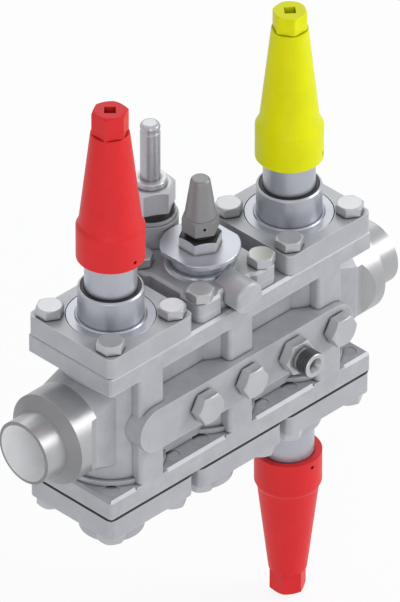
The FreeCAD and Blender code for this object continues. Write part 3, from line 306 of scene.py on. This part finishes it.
        # Wear and painted highlight: outside edges take a lighter copy of the colour.
        thin = self._openness(tree, self.edge_reach, RECIPE.wear_and_highlight_samples, inside=True)
        share = self._mapped(tree, thin, RECIPE.wear_and_highlight_band, (self.edge_wear_and_highlight, 0.0))
        highlit = tree.nodes.new("ShaderNodeMix")
        highlit.data_type = "RGBA"
        highlit.inputs["B"].default_value = self._tinted(RECIPE.wear_and_highlight_gain, RECIPE.wear_and_highlight_lift)
        tree.links.new(share, highlit.inputs["Factor"])
        tree.links.new(colour, highlit.inputs["A"])
        return highlit.outputs["Result"]

    def _gloss(self, tree: Tree, clouds: Socket) -> Socket:
        """Vary the roughness a little with the clouds.

        Args:
            tree: the material's nodes.
            clouds: the mottling noise.

        Returns:
            The roughness.
        """
        glossy = self.roughness * (1 - RECIPE.gloss_spread)
        dull = self.roughness * (1 + RECIPE.gloss_spread)
        return self._mapped(tree, clouds, (0.0, 1.0), (glossy, dull))

    def _bump(self, tree: Tree, height: Socket) -> Socket:
        """Raise the grain.

        Args:
            tree: the material's nodes.
            height: the grain's height.

        Returns:
            The bumpy surface's normal.
        """
        bump = tree.nodes.new("ShaderNodeBump")
        bump.inputs["Strength"].default_value = self.grain
        bump.inputs["Distance"].default_value = RECIPE.grain_height_mm * MM
        tree.links.new(height, bump.inputs["Height"])
        return bump.outputs["Normal"]

    @staticmethod
    def _vector(tree: Tree, operation: str, vector: Socket, other: Triple | None = None) -> bpy.types.Node:
        """Add one vector operation.

        Args:
            tree: the material's nodes.
            operation: its kind.
            vector: the vector that it works on.
            other: its fixed second vector, if it takes one.

        Returns:
            The operation's node.
        """
        node = tree.nodes.new("ShaderNodeVectorMath")
        node.operation = operation
        tree.links.new(vector, node.inputs[0])
        if other is not None:
            node.inputs[1].default_value = other
        return node

    def _rings(self, tree: Tree, place: Socket, grain: Socket, turning: Turning) -> Socket:
        """Add rings round the turning's axis to the grain.

        Args:
            tree: the material's nodes.
            place: the object coordinates.
            grain: the height so far.
            turning: the axis of the rings and how close they are.

        Returns:
            The height with the rings.
        """
        sideways = turning.direction.value
        forwards = tuple(1.0 - part for part in sideways)
        centred = self._vector(tree, "SUBTRACT", place, turning.centre).outputs["Vector"]
        across = self._vector(tree, "MULTIPLY", centred, sideways).outputs["Vector"]
        radius = self._vector(tree, "LENGTH", across).outputs["Value"]
        along = self._vector(tree, "DOT_PRODUCT", centred, forwards).outputs["Value"]
        reach = tree.nodes.new("ShaderNodeMath")
        reach.operation = "ADD"
        tree.links.new(radius, reach.inputs[0])
        tree.links.new(along, reach.inputs[1])
        phase = tree.nodes.new("ShaderNodeTexNoise")
        phase.noise_dimensions = "1D"
        phase.inputs["Scale"].default_value = turning.rings_per_metre
        phase.inputs["Detail"].default_value = RECIPE.ring_detail
        tree.links.new(reach.outputs["Value"], phase.inputs["W"])
        mixed = tree.nodes.new("ShaderNodeMix")
        mixed.inputs["Factor"].default_value = RECIPE.ring_share
        tree.links.new(grain, mixed.inputs["A"])
        tree.links.new(phase.outputs["Fac"], mixed.inputs["B"])
        return mixed.outputs["Result"]


# In the finishes below, the corner and seam settings paint shade into corners and seams, and the edge
# settings lighten outside edges with wear and a painted highlight.
CASTING = Finish("zinc_casting", "cast_steel", (0.41, 0.415, 0.44), metallic=0.25, roughness=0.46,
                 mottle=0.09, mottle_scale=70.0, grain=0.3, grain_scale=520.0,
                 corner_shade=0.5, corner_reach=0.0035, edge_wear_and_highlight=0.5)
COVER = Finish("zinc_cover", "plated_cover", (0.41, 0.415, 0.44), metallic=0.3, roughness=0.42,
               mottle=0.07, grain=0.2, grain_scale=600.0,
               corner_shade=0.7, corner_reach=0.0045, edge_wear_and_highlight=0.5)
MACHINED = Finish("machined_steel", "machined_steel", (0.42, 0.435, 0.48), metallic=0.5, roughness=0.32,
                  mottle=0.05, corner_shade=0.75, edge_wear_and_highlight=0.4, edge_reach=FINE_REACH)
PIPE_END = Finish("turned_pipe_end", "machined_steel", (0.40, 0.40, 0.41), metallic=0.55, roughness=0.34,
                  mottle=0.06, corner_shade=0.6, edge_wear_and_highlight=0.3, edge_reach=FINE_REACH)
# Painted light: the bore of the pipe ends, painted near-white so that its inside looks lit.
PIPE_BORE_PAINTED_LIGHT = Finish("pipe_bore_painted_light", "machined_steel", (0.95, 0.95, 0.955), metallic=0.0, roughness=0.45,
                   mottle=0.04, corner_shade=0.0)
# Painted shade: faces of the pipe ends that look along the pipe are painted a darker steel.
PIPE_FACE_PAINTED_SHADE = Finish("pipe_face_painted_shade", "machined_steel", (0.24, 0.24, 0.245), metallic=0.5, roughness=0.38,
                   mottle=0.06, corner_shade=0.6)
SCREW = Finish("plated_screws", "screw_steel", (0.47, 0.475, 0.49), metallic=0.55, roughness=0.34,
               mottle=0.06, corner_shade=0.85, edge_wear_and_highlight=0.4, edge_reach=FINE_REACH)
NUT = Finish("plated_nuts", "nut_steel", (0.56, 0.57, 0.60), metallic=0.45, roughness=0.34,
             mottle=0.06, corner_shade=0.6, edge_wear_and_highlight=0.4, edge_reach=FINE_REACH)
STAINLESS = Finish("ground_stainless", "stainless", (0.47, 0.48, 0.51), metallic=0.5, roughness=0.32,
                   mottle=0.04, corner_shade=0.6)
SPRING = Finish("spring_wire", "spring_steel", (0.40, 0.40, 0.41), metallic=0.9, roughness=0.35)
FLUORO = Finish("white_seal", "fluoropolymer", (0.82, 0.82, 0.80), metallic=0.0, roughness=0.5,
                corner_shade=0.2)
GASKET = Finish("fibre_gasket", "gasket_fibre", (0.045, 0.05, 0.035), metallic=0.0, roughness=0.8,
                grain=0.4, grain_scale=900.0)
RUBBER = Finish("black_ring", "black_rubber", (0.012, 0.012, 0.013), metallic=0.0, roughness=0.5,
                corner_shade=0.0)
BLACK_RING = Finish("black_oxide_ring", "machined_steel", (0.03, 0.03, 0.032), metallic=0.4, roughness=0.42,
                    corner_shade=0.3)
# Painted shadow: the black of the ring, used for the seal cap's shade on the stem nut.
NECK_PAINTED_SHADOW = replace(BLACK_RING, name="neck_painted_shadow", slot=NUT.slot)
WASHER = Finish("soft_washer", "soft_aluminium", (0.30, 0.30, 0.31), metallic=0.7, roughness=0.40,
                corner_shade=0.8)
CONNECTOR = Finish("plated_connector", "connector_steel", (0.46, 0.465, 0.48), metallic=0.5, roughness=0.34,
                   corner_shade=0.8, edge_wear_and_highlight=0.4, edge_reach=0.0006)
DARK_THREAD = Finish("dark_thread", "connector_steel", (0.10, 0.10, 0.105), metallic=0.6, roughness=0.38)
RED = Finish("red_cap", "red_cap", (0.71, 0.026, 0.029), metallic=0.0, roughness=0.42,
             mottle=0.05, grain=0.06, corner_shade=0.6, corner_reach=0.003,
             edge_wear_and_highlight=0.25, edge_reach=FINE_REACH, specular=0.16)
YELLOW = Finish("yellow_cap", "yellow_cap", (0.72, 0.73, 0.0), metallic=0.0, roughness=0.42,
                mottle=0.04, grain=0.06, corner_shade=0.55, corner_reach=0.003,
                edge_wear_and_highlight=0.2, edge_reach=FINE_REACH, specular=0.16)
SEAL_GREY = Finish("grey_seal_cap", "seal_cap_grey", (0.23, 0.23, 0.235), metallic=0.3, roughness=0.42,
                   mottle=0.06, corner_shade=0.7, edge_wear_and_highlight=0.4, edge_reach=FINE_REACH)


class Bench:
    """The hand operations that pieces go through, one at a time."""

    @staticmethod
    def clear() -> None:
        """Deselect everything."""
        if bpy.context.object is not None and bpy.context.object.mode != "OBJECT":
            bpy.ops.object.mode_set(mode="OBJECT")
        bpy.ops.object.select_all(action="DESELECT")

    @classmethod
    def pick(cls, piece: Piece) -> None:
        """Select one piece alone and make it active.

        Args:
            piece: the piece.
        """
        cls.clear()
        piece.select_set(True)
        bpy.context.view_layer.objects.active = piece

    @classmethod
    def grab(cls, piece: Piece, chosen: Callable[[Vector], bool]) -> None:
        """Open a piece for shaping, with some of its corners selected.

        Args:
            piece: the piece.
            chosen: tells from a corner's place whether it is selected.
        """
        cls.pick(piece)
        bpy.ops.object.mode_set(mode="EDIT")
        bpy.ops.mesh.select_mode(type="VERT")
        bpy.ops.mesh.select_all(action="DESELECT")
        bpy.ops.object.mode_set(mode="OBJECT")
        for vertex in piece.data.vertices:
            vertex.select = chosen(vertex.co)
        bpy.ops.object.mode_set(mode="EDIT")

    @classmethod
    def settle(cls, piece: Piece, name: str) -> Piece:
        """Name a piece and move its place into its mesh.

        Args:
            piece: the piece.
            name: its name.

        Returns:
            The piece.
        """
        cls.pick(piece)
        bpy.ops.object.transform_apply(location=True, rotation=True, scale=True)
        piece.name = name
        piece.data.name = name
        return piece

    @classmethod
    def soften(cls, piece: Piece, width_mm: float, angle: float = EDGE) -> None:
        """Round a piece's sharp edges, smooth its shading and keep its flat faces flat.

        Args:
            piece: the piece.
            width_mm: the width of the rounding, or 0 for none.
            angle: edges sharper than this many degrees are rounded.
        """
        cls.pick(piece)
        if width_mm > 0:
            bevel = piece.modifiers.new("round", "BEVEL")
            bevel.width = width_mm * MM
            bevel.segments = EDGE_SEGMENTS
            bevel.limit_method = "ANGLE"
            bevel.angle_limit = math.radians(angle)
            bevel.use_clamp_overlap = True
            bevel.harden_normals = False
            bpy.ops.object.modifier_apply(modifier=bevel.name)
        bpy.ops.object.shade_smooth_by_angle(angle=math.radians(angle))
        weighted = piece.modifiers.new("flatten", "WEIGHTED_NORMAL")
        weighted.mode = "FACE_AREA"
        weighted.keep_sharp = True
        bpy.ops.object.modifier_apply(modifier=weighted.name)

    @classmethod
    def finished_copy(cls, node: str, width_mm: float, angle: float) -> Piece:
        """Copy a CAD node, merge its triangles and round its edges.

        Args:
            node: the CAD node.
            width_mm: the width of the edge rounding.
            angle: edges sharper than this many degrees are rounded.

        Returns:
            The copy, which replaces the node.
        """
        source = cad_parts[node]
        piece = bpy.data.objects.new(f"{node}_finished", source.data.copy())
        bpy.context.scene.collection.objects.link(piece)
        cls.pick(piece)
        if piece.data.has_custom_normals:
            bpy.ops.mesh.customdata_custom_splitnormals_clear()
        bpy.ops.object.mode_set(mode="EDIT")
        bpy.ops.mesh.select_mode(type="VERT")
        bpy.ops.mesh.select_all(action="SELECT")
        bpy.ops.mesh.remove_doubles(threshold=MERGE_MM * MM)
        bpy.ops.mesh.dissolve_limited(angle_limit=math.radians(FLAT))
        bpy.ops.object.mode_set(mode="OBJECT")
        cls.soften(piece, width_mm, angle)
        return piece

    @classmethod
    def lengthen(cls, piece: Piece, by_mm: float, end_mm: float = 1.2) -> None:
        """Move a piece's top end up.

        Args:
            piece: the piece.
            by_mm: how far its end moves.
            end_mm: the height of the end that moves as it is.
        """
        top = max(vertex.co.z for vertex in piece.data.vertices)
        cls.grab(piece, lambda place: place.z > top - end_mm * MM)
        bpy.ops.transform.translate(value=(0.0, 0.0, by_mm * MM))
        bpy.ops.object.mode_set(mode="OBJECT")

    @staticmethod
    def wind(section: Piece, rise: float, turns: int, steps: int) -> None:
        """Wind the active piece, a closed outline beside the Z axis, into a coil with closed ends.

        Args:
            section: the outline.
            rise: the height of one turn.
            turns: the number of turns.
            steps: the number of steps in a turn.
        """
        sides = len(section.data.vertices)
        screw = section.modifiers.new("turns", "SCREW")
        screw.axis = "Z"
        screw.iterations = turns
        screw.screw_offset = rise
        screw.steps = steps
        screw.render_steps = steps
        bpy.ops.object.modifier_apply(modifier=screw.name)
        bpy.ops.object.mode_set(mode="EDIT")
        bpy.ops.mesh.select_all(action="SELECT")
        bpy.ops.mesh.fill_holes(sides=sides)
        bpy.ops.mesh.normals_make_consistent(inside=False)
        bpy.ops.object.mode_set(mode="OBJECT")


def dress(piece: Piece, finish: Finish, turning: Turning | None = None) -> None:
    """Give a piece one material all over.

    Args:
        piece: the piece or CAD node.
        finish: its finish.
        turning: tool rings, if it is turned.
    """
    piece.data.materials.clear()
    piece.data.materials.append(finish.material(turning))


def paint_where(piece: Piece, finish: Finish, chosen: Callable[[bpy.types.MeshPolygon], bool]) -> None:
    """Give some faces of a piece a second finish.

    Args:
        piece: the piece, dressed in its first finish.
        finish: the second finish, of the same material slot.
        chosen: tells which faces take it.
    """
    piece.data.materials.append(finish.material())
    place = len(piece.data.materials) - 1
    for polygon in piece.data.polygons:
        if chosen(polygon):
            polygon.material_index = place


def stand_in(node: str, finish: Finish, body: str = ROOT, width_mm: float = 0.35,
             turning: Turning | None = None, angle: float = EDGE) -> Piece:
    """Replace a CAD node by its rounded and dressed copy.

    Args:
        node: the CAD node.
        finish: the copy's finish.
        body: the body that it rides on.
        width_mm: the width of the edge rounding.
        turning: tool rings, if it is turned.
        angle: edges sharper than this many degrees are rounded.

    Returns:
        The copy.
    """
    piece = Bench.finished_copy(node, width_mm, angle)
    dress(piece, finish, turning)
    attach(piece, body)
    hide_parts(node)
    log.info("finished %s: %d faces", node, len(piece.data.polygons))
    return piece


def centre_of(node: str) -> Vector:
    """Give the middle of a CAD node's box."""
    low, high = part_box(node)
    return (low + high) / 2


def upright_turning(node: str) -> Turning:
    """Give tool rings round a node's upright axis."""
    middle = centre_of(node)
    return Turning((middle.x, middle.y, 0.0), Direction.UPRIGHT)


@dataclass
class CoilSpring:
    """A closing spring of round wire, wound in the room of its plain CAD sleeve."""

    node: str
    wire_mm: float
    turns: int
    wire_sides: int = 10
    steps: int = 30

    def build(self) -> None:
        """Wind the spring in the room of its CAD sleeve and hang it on the station."""
        low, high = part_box(self.node)
        middle = (low + high) / 2
        height = high.z - low.z
        spring = self._wind((high.x - low.x) / 2, height)
        spring.location = (middle.x, middle.y, low.z + self.wire_mm / 2 * MM)
        Bench.settle(spring, f"{self.node}_wire")
        bpy.ops.object.shade_smooth()
        dress(spring, SPRING)
        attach(spring, ROOT)
        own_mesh(spring)
        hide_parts(self.node)
        log.info("wound %s: %d turns", self.node, self.turns)

    def _wind(self, outer: float, height: float) -> Piece:
        """Wind the wire upwards from the origin.

        Args:
            outer: the spring's outer radius.
            height: its height at rest.

        Returns:
            The closed coil.
        """
        Bench.clear()
        wire = self.wire_mm / 2 * MM
        bpy.ops.mesh.primitive_circle_add(vertices=self.wire_sides, radius=wire, fill_type="NOTHING")
        coil = bpy.context.object
        for vertex in coil.data.vertices:
            vertex.co = Vector((outer - wire + vertex.co.x, 0.0, vertex.co.y))
        Bench.wind(coil, (height - 2 * wire) / self.turns, self.turns, self.steps)
        return coil


@dataclass
class CastHousing:
    """The cast housing with its welded pipe ends.

    The two slopes say how squarely a face looks along the pipe to be its end face, painted in shade,
    or at the pipe's axis to be its bore, painted in light.
    """

    edge_mm: float = 0.9
    pipe_edge_mm: float = 0.4
    face_slope: float = 0.75
    bore_slope: float = 0.8

    def build(self) -> None:
        """Round and dress the casting and both pipe ends, with painted light in the bores and painted shade
        on the end faces.
        """
        stand_in("housing", CASTING, width_mm=self.edge_mm)
        for node in ("inlet_nozzle", "outlet_nozzle"):
            rings = Turning(tuple(centre_of(node)), Direction.FLOW)
            nozzle = stand_in(node, PIPE_END, width_mm=self.pipe_edge_mm, turning=rings)
            # Painted light: the bore takes a near-white copy of the steel.
            paint_where(nozzle, PIPE_BORE_PAINTED_LIGHT, self._faces_inwards)
            # Painted shade: faces that look along the pipe take a darker copy of the steel.
            paint_where(nozzle, PIPE_FACE_PAINTED_SHADE, lambda polygon: abs(polygon.normal.x) > self.face_slope)
        dress(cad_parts["valve_seats"], STAINLESS)

    def _faces_inwards(self, polygon: bpy.types.MeshPolygon) -> bool:
        """Tell whether a face looks at the pipe's axis.

        Args:
            polygon: the face.

        Returns:
            True for a face of the bore.
        """
        radius = math.hypot(polygon.center.y, polygon.center.z)
        outwards = polygon.center.y * polygon.normal.y + polygon.center.z * polygon.normal.z
        return outwards < -self.bore_slope * radius


@dataclass
class SpindleModule:
    """One stop or regulating valve module with its protecting cap."""

    prefix: str
    cap_finish: Finish
    hangs: bool = False
    cover_edge_mm: float = 0.8
    ring_edge_mm: float = 0.4
    cap_edge_mm: float = 0.5
    spindle_edge_mm: float = 0.2

    def build(self) -> None:
        """Dress the cover, neck, gland, cap and the inner pieces."""
        stand_in(f"{self.prefix}_cover", COVER, width_mm=self.cover_edge_mm)
        screws = stand_in(f"{self.prefix}_screws", SCREW, width_mm=SMALL_EDGE_MM, angle=SHARP)
        if self.hangs:
            Bench.lengthen(screws, SCREW_END_MM)
        for part in ("bonnet", "gland"):
            node = f"{self.prefix}_{part}"
            stand_in(node, MACHINED, turning=upright_turning(node))
        stand_in(f"{self.prefix}_neck_ring", RUBBER, width_mm=self.ring_edge_mm)
        stand_in(f"{self.prefix}_cap", self.cap_finish, f"{self.prefix}_hood", self.cap_edge_mm)
        stand_in(f"{self.prefix}_spindle", STAINLESS, f"{self.prefix}_stem", self.spindle_edge_mm)
        dress(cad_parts[f"{self.prefix}_cone"], STAINLESS)
        dress(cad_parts[f"{self.prefix}_cone_seal"], FLUORO)


@dataclass
class LowerModules:
    """The strainer and check modules under the housing, and the lower gaskets."""

    edge_mm: float = 0.8

    def build(self) -> None:
        """Dress the covers, screws, gaskets and inner pieces."""
        for part in ("strainer", "check"):
            stand_in(f"{part}_cover", COVER, width_mm=self.edge_mm)
            screws = stand_in(f"{part}_screws", SCREW, width_mm=SMALL_EDGE_MM, angle=SHARP)
            Bench.lengthen(screws, SCREW_END_MM)
        for part in ("strainer", "check", "outlet_stop"):
            stand_in(f"{part}_gasket", GASKET, width_mm=SMALL_EDGE_MM)
        for node in ("strainer_basket", "check_disc"):
            dress(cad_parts[node], STAINLESS)
        CoilSpring("check_spring", wire_mm=1.8, turns=6).build()


@dataclass
class SolenoidModule:
    """The solenoid module with its seal cap and bare armature tube.

    The painted shadow of the seal cap on the stem nut starts shoulder_mm under the cap. It takes in the
    faces inside neck_radius_mm, and those that look up more steeply than top_slope.
    """

    edge_mm: float = 1.2
    cap_edge_mm: float = 0.4
    stem_edge_mm: float = 0.2
    shoulder_mm: float = 6.5
    neck_radius_mm: float = 10.5
    top_slope: float = 0.3

    def build(self) -> None:
        """Dress the plates, dome, nuts, tube and inner pieces."""
        for node in ("solenoid_cover", "solenoid_spacer"):
            stand_in(node, CASTING, width_mm=self.edge_mm)
        stand_in("solenoid_screws", SCREW, width_mm=SMALL_EDGE_MM, angle=SHARP)
        self._turned_pieces()
        stand_in("seal_cap", SEAL_GREY, "stem_hood", self.cap_edge_mm)
        stand_in("manual_stem", STAINLESS, "opening_stem", self.stem_edge_mm)
        for node in ("stem_lifter", "servo_piston", "armature"):
            dress(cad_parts[node], STAINLESS)
        CoilSpring("piston_spring", wire_mm=2.2, turns=5).build()
        CoilSpring("armature_spring", wire_mm=0.9, turns=8).build()

    def _turned_pieces(self) -> None:
        """Dress the dome, nuts, ring and tube, and paint the seal cap's shadow black on the stem nut."""
        finishes = {"stem_housing": MACHINED, "stem_nut": NUT, "coil_nut": NUT,
                    "coil_ring": BLACK_RING, "coil_tube": STAINLESS}
        pieces = {node: stand_in(node, finish, turning=upright_turning(node), angle=SHARP)
                  for node, finish in finishes.items()}
        self._paint_neck_shadow(pieces["stem_nut"])

    def _paint_neck_shadow(self, nut: Piece) -> None:
        """Paint the seal cap's shadow black on the top of the stem nut and its neck.

        Args:
            nut: the stem nut.
        """
        middle = centre_of("stem_nut")
        cap_low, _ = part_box("seal_cap")
        shoulder = cap_low.z - self.shoulder_mm * MM

        def is_neck(polygon: bpy.types.MeshPolygon) -> bool:
            """Tell whether a face is above the shoulder and looks up or stands near the axis."""
            radius = math.hypot(polygon.center.x - middle.x, polygon.center.y - middle.y)
            inner = polygon.normal.z > self.top_slope or radius < self.neck_radius_mm * MM
            return polygon.center.z > shoulder and inner

        # Painted shadow: the cap's shade on the nut's top and neck, painted black.
        paint_where(nut, NECK_PAINTED_SHADOW, is_neck)


@dataclass
class ConnectorThread:
    """The outside thread of the service connector, wound round an axis that points to -Y.

    Its start and end are measured from the face that the connector is screwed into. The ridge's
    foot is sunk_mm deep in the shank, and flank_share of the pitch is half the foot's width. A
    corner within margin_mm of the body's radius belongs to the shank.
    """

    body_radius_mm: float = 9.8
    pitch_mm: float = 1.5
    depth_mm: float = 0.75
    start_mm: float = 12.6
    end_mm: float = 22.4
    sunk_mm: float = 0.15
    flank_share: float = 0.42
    margin_mm: float = 0.02
    steps: int = 40

    def thin_shank(self, piece: Piece, middle: Vector) -> None:
        """Turn the connector's shank down to the thread's root.

        Args:
            piece: the connector.
            middle: a point on its axis.
        """
        share = (self.body_radius_mm - self.depth_mm) / self.body_radius_mm

        def is_shank(place: Vector) -> bool:
            """Tell whether a corner stands on the shank's outside."""
            radius = math.hypot(place.x - middle.x, place.z - middle.z)
            return abs(radius - self.body_radius_mm * MM) < self.margin_mm * MM

        Bench.grab(piece, is_shank)
        bpy.ops.transform.resize(value=(share, 1.0, share), center_override=middle)
        bpy.ops.object.mode_set(mode="OBJECT")

    def wind(self, middle: Vector, face: float) -> Piece:
        """Wind the thread's ridge.

        Args:
            middle: a point on the connector's axis.
            face: the place along Y of the face that the connector is screwed into.

        Returns:
            The ridge, a closed piece.
        """
        Bench.clear()
        root = self.body_radius_mm - self.depth_mm - self.sunk_mm
        flank = self.pitch_mm * self.flank_share
        bpy.ops.mesh.primitive_circle_add(vertices=3, radius=1.0, fill_type="NOTHING")
        ridge = bpy.context.object
        corners = ((self.body_radius_mm, 0.0), (root, flank), (root, -flank))
        for vertex, (across, along) in zip(ridge.data.vertices, corners):
            vertex.co = Vector((across, 0.0, along)) * MM
        turns = math.floor((self.end_mm - self.start_mm) / self.pitch_mm)
        Bench.wind(ridge, self.pitch_mm * MM, turns, self.steps)
        start = self.start_mm + self.pitch_mm / 2
        ridge.rotation_euler = (math.radians(90), 0.0, 0.0)
        ridge.location = Vector((middle.x, face - start * MM, middle.z))
        return Bench.settle(ridge, "connector_thread")


@dataclass
class ServicePorts:
    """Plugs, gaskets and the threaded connector in the port bar."""

    thread: ConnectorThread = field(default_factory=ConnectorThread)
    plug_edge_mm: float = 0.35
    gasket_edge_mm: float = 0.15
    shank_wall_mm: float = 1.0

    def build(self) -> None:
        """Dress the fittings and wind the connector's thread."""
        stand_in("port_plugs", SCREW, width_mm=self.plug_edge_mm, angle=SHARP)
        stand_in("port_gaskets", WASHER, width_mm=self.gasket_edge_mm)
        middle = centre_of("port_connector")
        _, gasket_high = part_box("port_gaskets")
        connector = stand_in("port_connector", CONNECTOR, width_mm=0.0)
        self.thread.thin_shank(connector, middle)
        Bench.soften(connector, SMALL_EDGE_MM)
        ridge = self.thread.wind(middle, gasket_high.y)
        dress(ridge, DARK_THREAD)
        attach(ridge, ROOT)
        self._darken_shank(connector, middle, gasket_high.y)

    def _darken_shank(self, connector: Piece, middle: Vector, face: float) -> None:
        """Give the connector's faces between the thread's ridges the dark finish.

        Args:
            connector: the connector.
            middle: a point on its axis.
            face: the place along Y of the face that it is screwed into.
        """
        near, far = face - self.thread.start_mm * MM, face - self.thread.end_mm * MM
        outer = (self.thread.body_radius_mm - self.thread.depth_mm - self.shank_wall_mm) * MM

        def is_shank(polygon: bpy.types.MeshPolygon) -> bool:
            """Tell whether a face stands on the threaded length and outside the bore."""
            radius = math.hypot(polygon.center.x - middle.x, polygon.center.z - middle.z)
            return far < polygon.center.y < near and radius > outer

        paint_where(connector, DARK_THREAD, is_shank)


@dataclass(frozen=True)
class Lamp:
    """A round soft lamp: its place from the aim, its width and its power in watts."""

    name: str
    place: Triple
    width: float
    power: float

    def hang(self, aim: Vector) -> None:
        """Hang the lamp so that it shines at the aim.

        Args:
            aim: the point that it shines at.
        """
        lamp = bpy.data.lights.new(self.name, "AREA")
        lamp.shape = "DISK"
        lamp.size = self.width
        lamp.energy = self.power
        holder = bpy.data.objects.new(self.name, lamp)
        bpy.context.scene.collection.objects.link(holder)
        holder.location = aim + Vector(self.place)
        holder.rotation_euler = (-Vector(self.place)).to_track_quat("-Z", "Y").to_euler()


LAMPS = (
    Lamp("key_lamp", (1.9, -1.5, 1.2), width=1.6, power=36.0),
    Lamp("left_lamp", (-1.8, -1.4, 0.6), width=2.0, power=17.0),
    Lamp("back_lamp", (0.9, 1.2, 1.3), width=1.4, power=7.0),
)


@dataclass
class Studio:
    """Pale floor, soft lights and the camera at the photograph's angle."""

    aim: Vector = field(default_factory=lambda: Vector((0.1736, 0.0, 0.0429)))
    line_of_sight: Triple = (-1.0, -1.0, 1.0)
    view_height: float = 0.421
    lens_mm: float = 900.0
    sensor_mm: float = 36.0
    clip: Pair = (0.1, 60.0)
    floor_size: float = 12.0
    floor_drop: float = 0.004
    floor_grey: float = 0.9
    floor_roughness: float = 0.9
    floor_whiteness: float = 0.88
    room_tint: Triple = (0.93, 0.96, 1.0)
    room_strength: float = 0.55

    def build(self) -> None:
        """Make the floor, the world, the lamps and the camera."""
        self._floor()
        self._world()
        for lamp in LAMPS:
            lamp.hang(self.aim)
        self._camera()

    def _floor(self) -> None:
        """Lay a pale floor under the lowest cap."""
        low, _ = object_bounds()
        Bench.clear()
        place = (self.aim.x, 0.0, low.z - self.floor_drop)
        bpy.ops.mesh.primitive_plane_add(size=self.floor_size, location=place)
        floor = Bench.settle(bpy.context.object, "floor")
        floor.data.materials.append(self._floor_material())
        floor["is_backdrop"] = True

    def _floor_material(self) -> bpy.types.Material:
        """Mix a pale surface with plain white where the camera sees it.

        Returns:
            The floor's material, which keeps the station's shadow.
        """
        material = bpy.data.materials.new("pale_floor")
        material.use_nodes = True
        tree = material.node_tree
        shader = tree.nodes["Principled BSDF"]
        shader.inputs["Base Color"].default_value = (*[self.floor_grey] * 3, 1.0)
        shader.inputs["Roughness"].default_value = self.floor_roughness
        white = tree.nodes.new("ShaderNodeEmission")
        white.inputs["Strength"].default_value = 1.0
        share = tree.nodes.new("ShaderNodeMath")
        share.operation = "MULTIPLY"
        share.inputs[1].default_value = self.floor_whiteness
        tree.links.new(self._seen(tree), share.inputs[0])
        mixed = tree.nodes.new("ShaderNodeMixShader")
        tree.links.new(share.outputs["Value"], mixed.inputs["Fac"])
        tree.links.new(shader.outputs["BSDF"], mixed.inputs[1])
        tree.links.new(white.outputs["Emission"], mixed.inputs[2])
        tree.links.new(mixed.outputs["Shader"], tree.nodes["Material Output"].inputs["Surface"])
        return material

    @staticmethod
    def _seen(tree: Tree) -> Socket:
        """Add the nodes that tell camera, glossy and transmission rays from the light.

        Args:
            tree: the nodes of the floor or the world.

        Returns:
            A value of 1 for rays that show the background.
        """
        path = tree.nodes.new("ShaderNodeLightPath")
        seen = path.outputs["Is Camera Ray"]
        for ray in ("Is Glossy Ray", "Is Transmission Ray"):
            either = tree.nodes.new("ShaderNodeMath")
            either.operation = "MAXIMUM"
            tree.links.new(seen, either.inputs[0])
            tree.links.new(path.outputs[ray], either.inputs[1])
            seen = either.outputs["Value"]
        return seen

    def _world(self) -> None:
        """Light the station from a soft pale room that looks white to the camera."""
        world = bpy.data.worlds.new("pale_room")
        bpy.context.scene.world = world
        world.use_nodes = True
        tree = world.node_tree
        tree.nodes.clear()
        seen = self._seen(tree)
        room = tree.nodes.new("ShaderNodeBackground")
        room.inputs["Color"].default_value = (*self.room_tint, 1.0)
        room.inputs["Strength"].default_value = self.room_strength
        white = tree.nodes.new("ShaderNodeBackground")
        white.inputs["Color"].default_value = (1.0, 1.0, 1.0, 1.0)
        white.inputs["Strength"].default_value = 1.0
        mixed = tree.nodes.new("ShaderNodeMixShader")
        tree.links.new(seen, mixed.inputs["Fac"])
        tree.links.new(room.outputs["Background"], mixed.inputs[1])
        tree.links.new(white.outputs["Background"], mixed.inputs[2])
        output = tree.nodes.new("ShaderNodeOutputWorld")
        tree.links.new(mixed.outputs["Shader"], output.inputs["Surface"])

    def _camera(self) -> None:
        """Stand a long-lens camera on the photograph's line of sight."""
        camera = bpy.data.cameras.new("camera")
        camera.lens = self.lens_mm
        camera.sensor_width = self.sensor_mm
        camera.clip_start, camera.clip_end = self.clip
        distance = self.view_height / 2 / (self.sensor_mm / 2 / self.lens_mm)
        back = Vector(self.line_of_sight).normalized()
        holder = bpy.data.objects.new("camera", camera)
        bpy.context.scene.collection.objects.link(holder)
        holder.location = self.aim + back * distance
        holder.rotation_euler = (-back).to_track_quat("-Z", "Y").to_euler()
        bpy.context.scene.camera = holder


def main() -> None:
    """Dress the station piece by piece and light it."""
    logging.basicConfig(level=logging.INFO)
    bpy.context.scene.view_settings.view_transform = "Standard"
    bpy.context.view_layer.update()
    builders = [
        CastHousing(),
        SpindleModule("inlet_stop", RED),
        SpindleModule("regulating", YELLOW),
        SpindleModule("outlet_stop", RED, hangs=True),
        LowerModules(),
        SolenoidModule(),
        ServicePorts(),
        Studio(),
    ]
    for builder in builders:
        builder.build()
        log.info("built %s", type(builder).__name__)


if __name__ == "__main__":
    main()
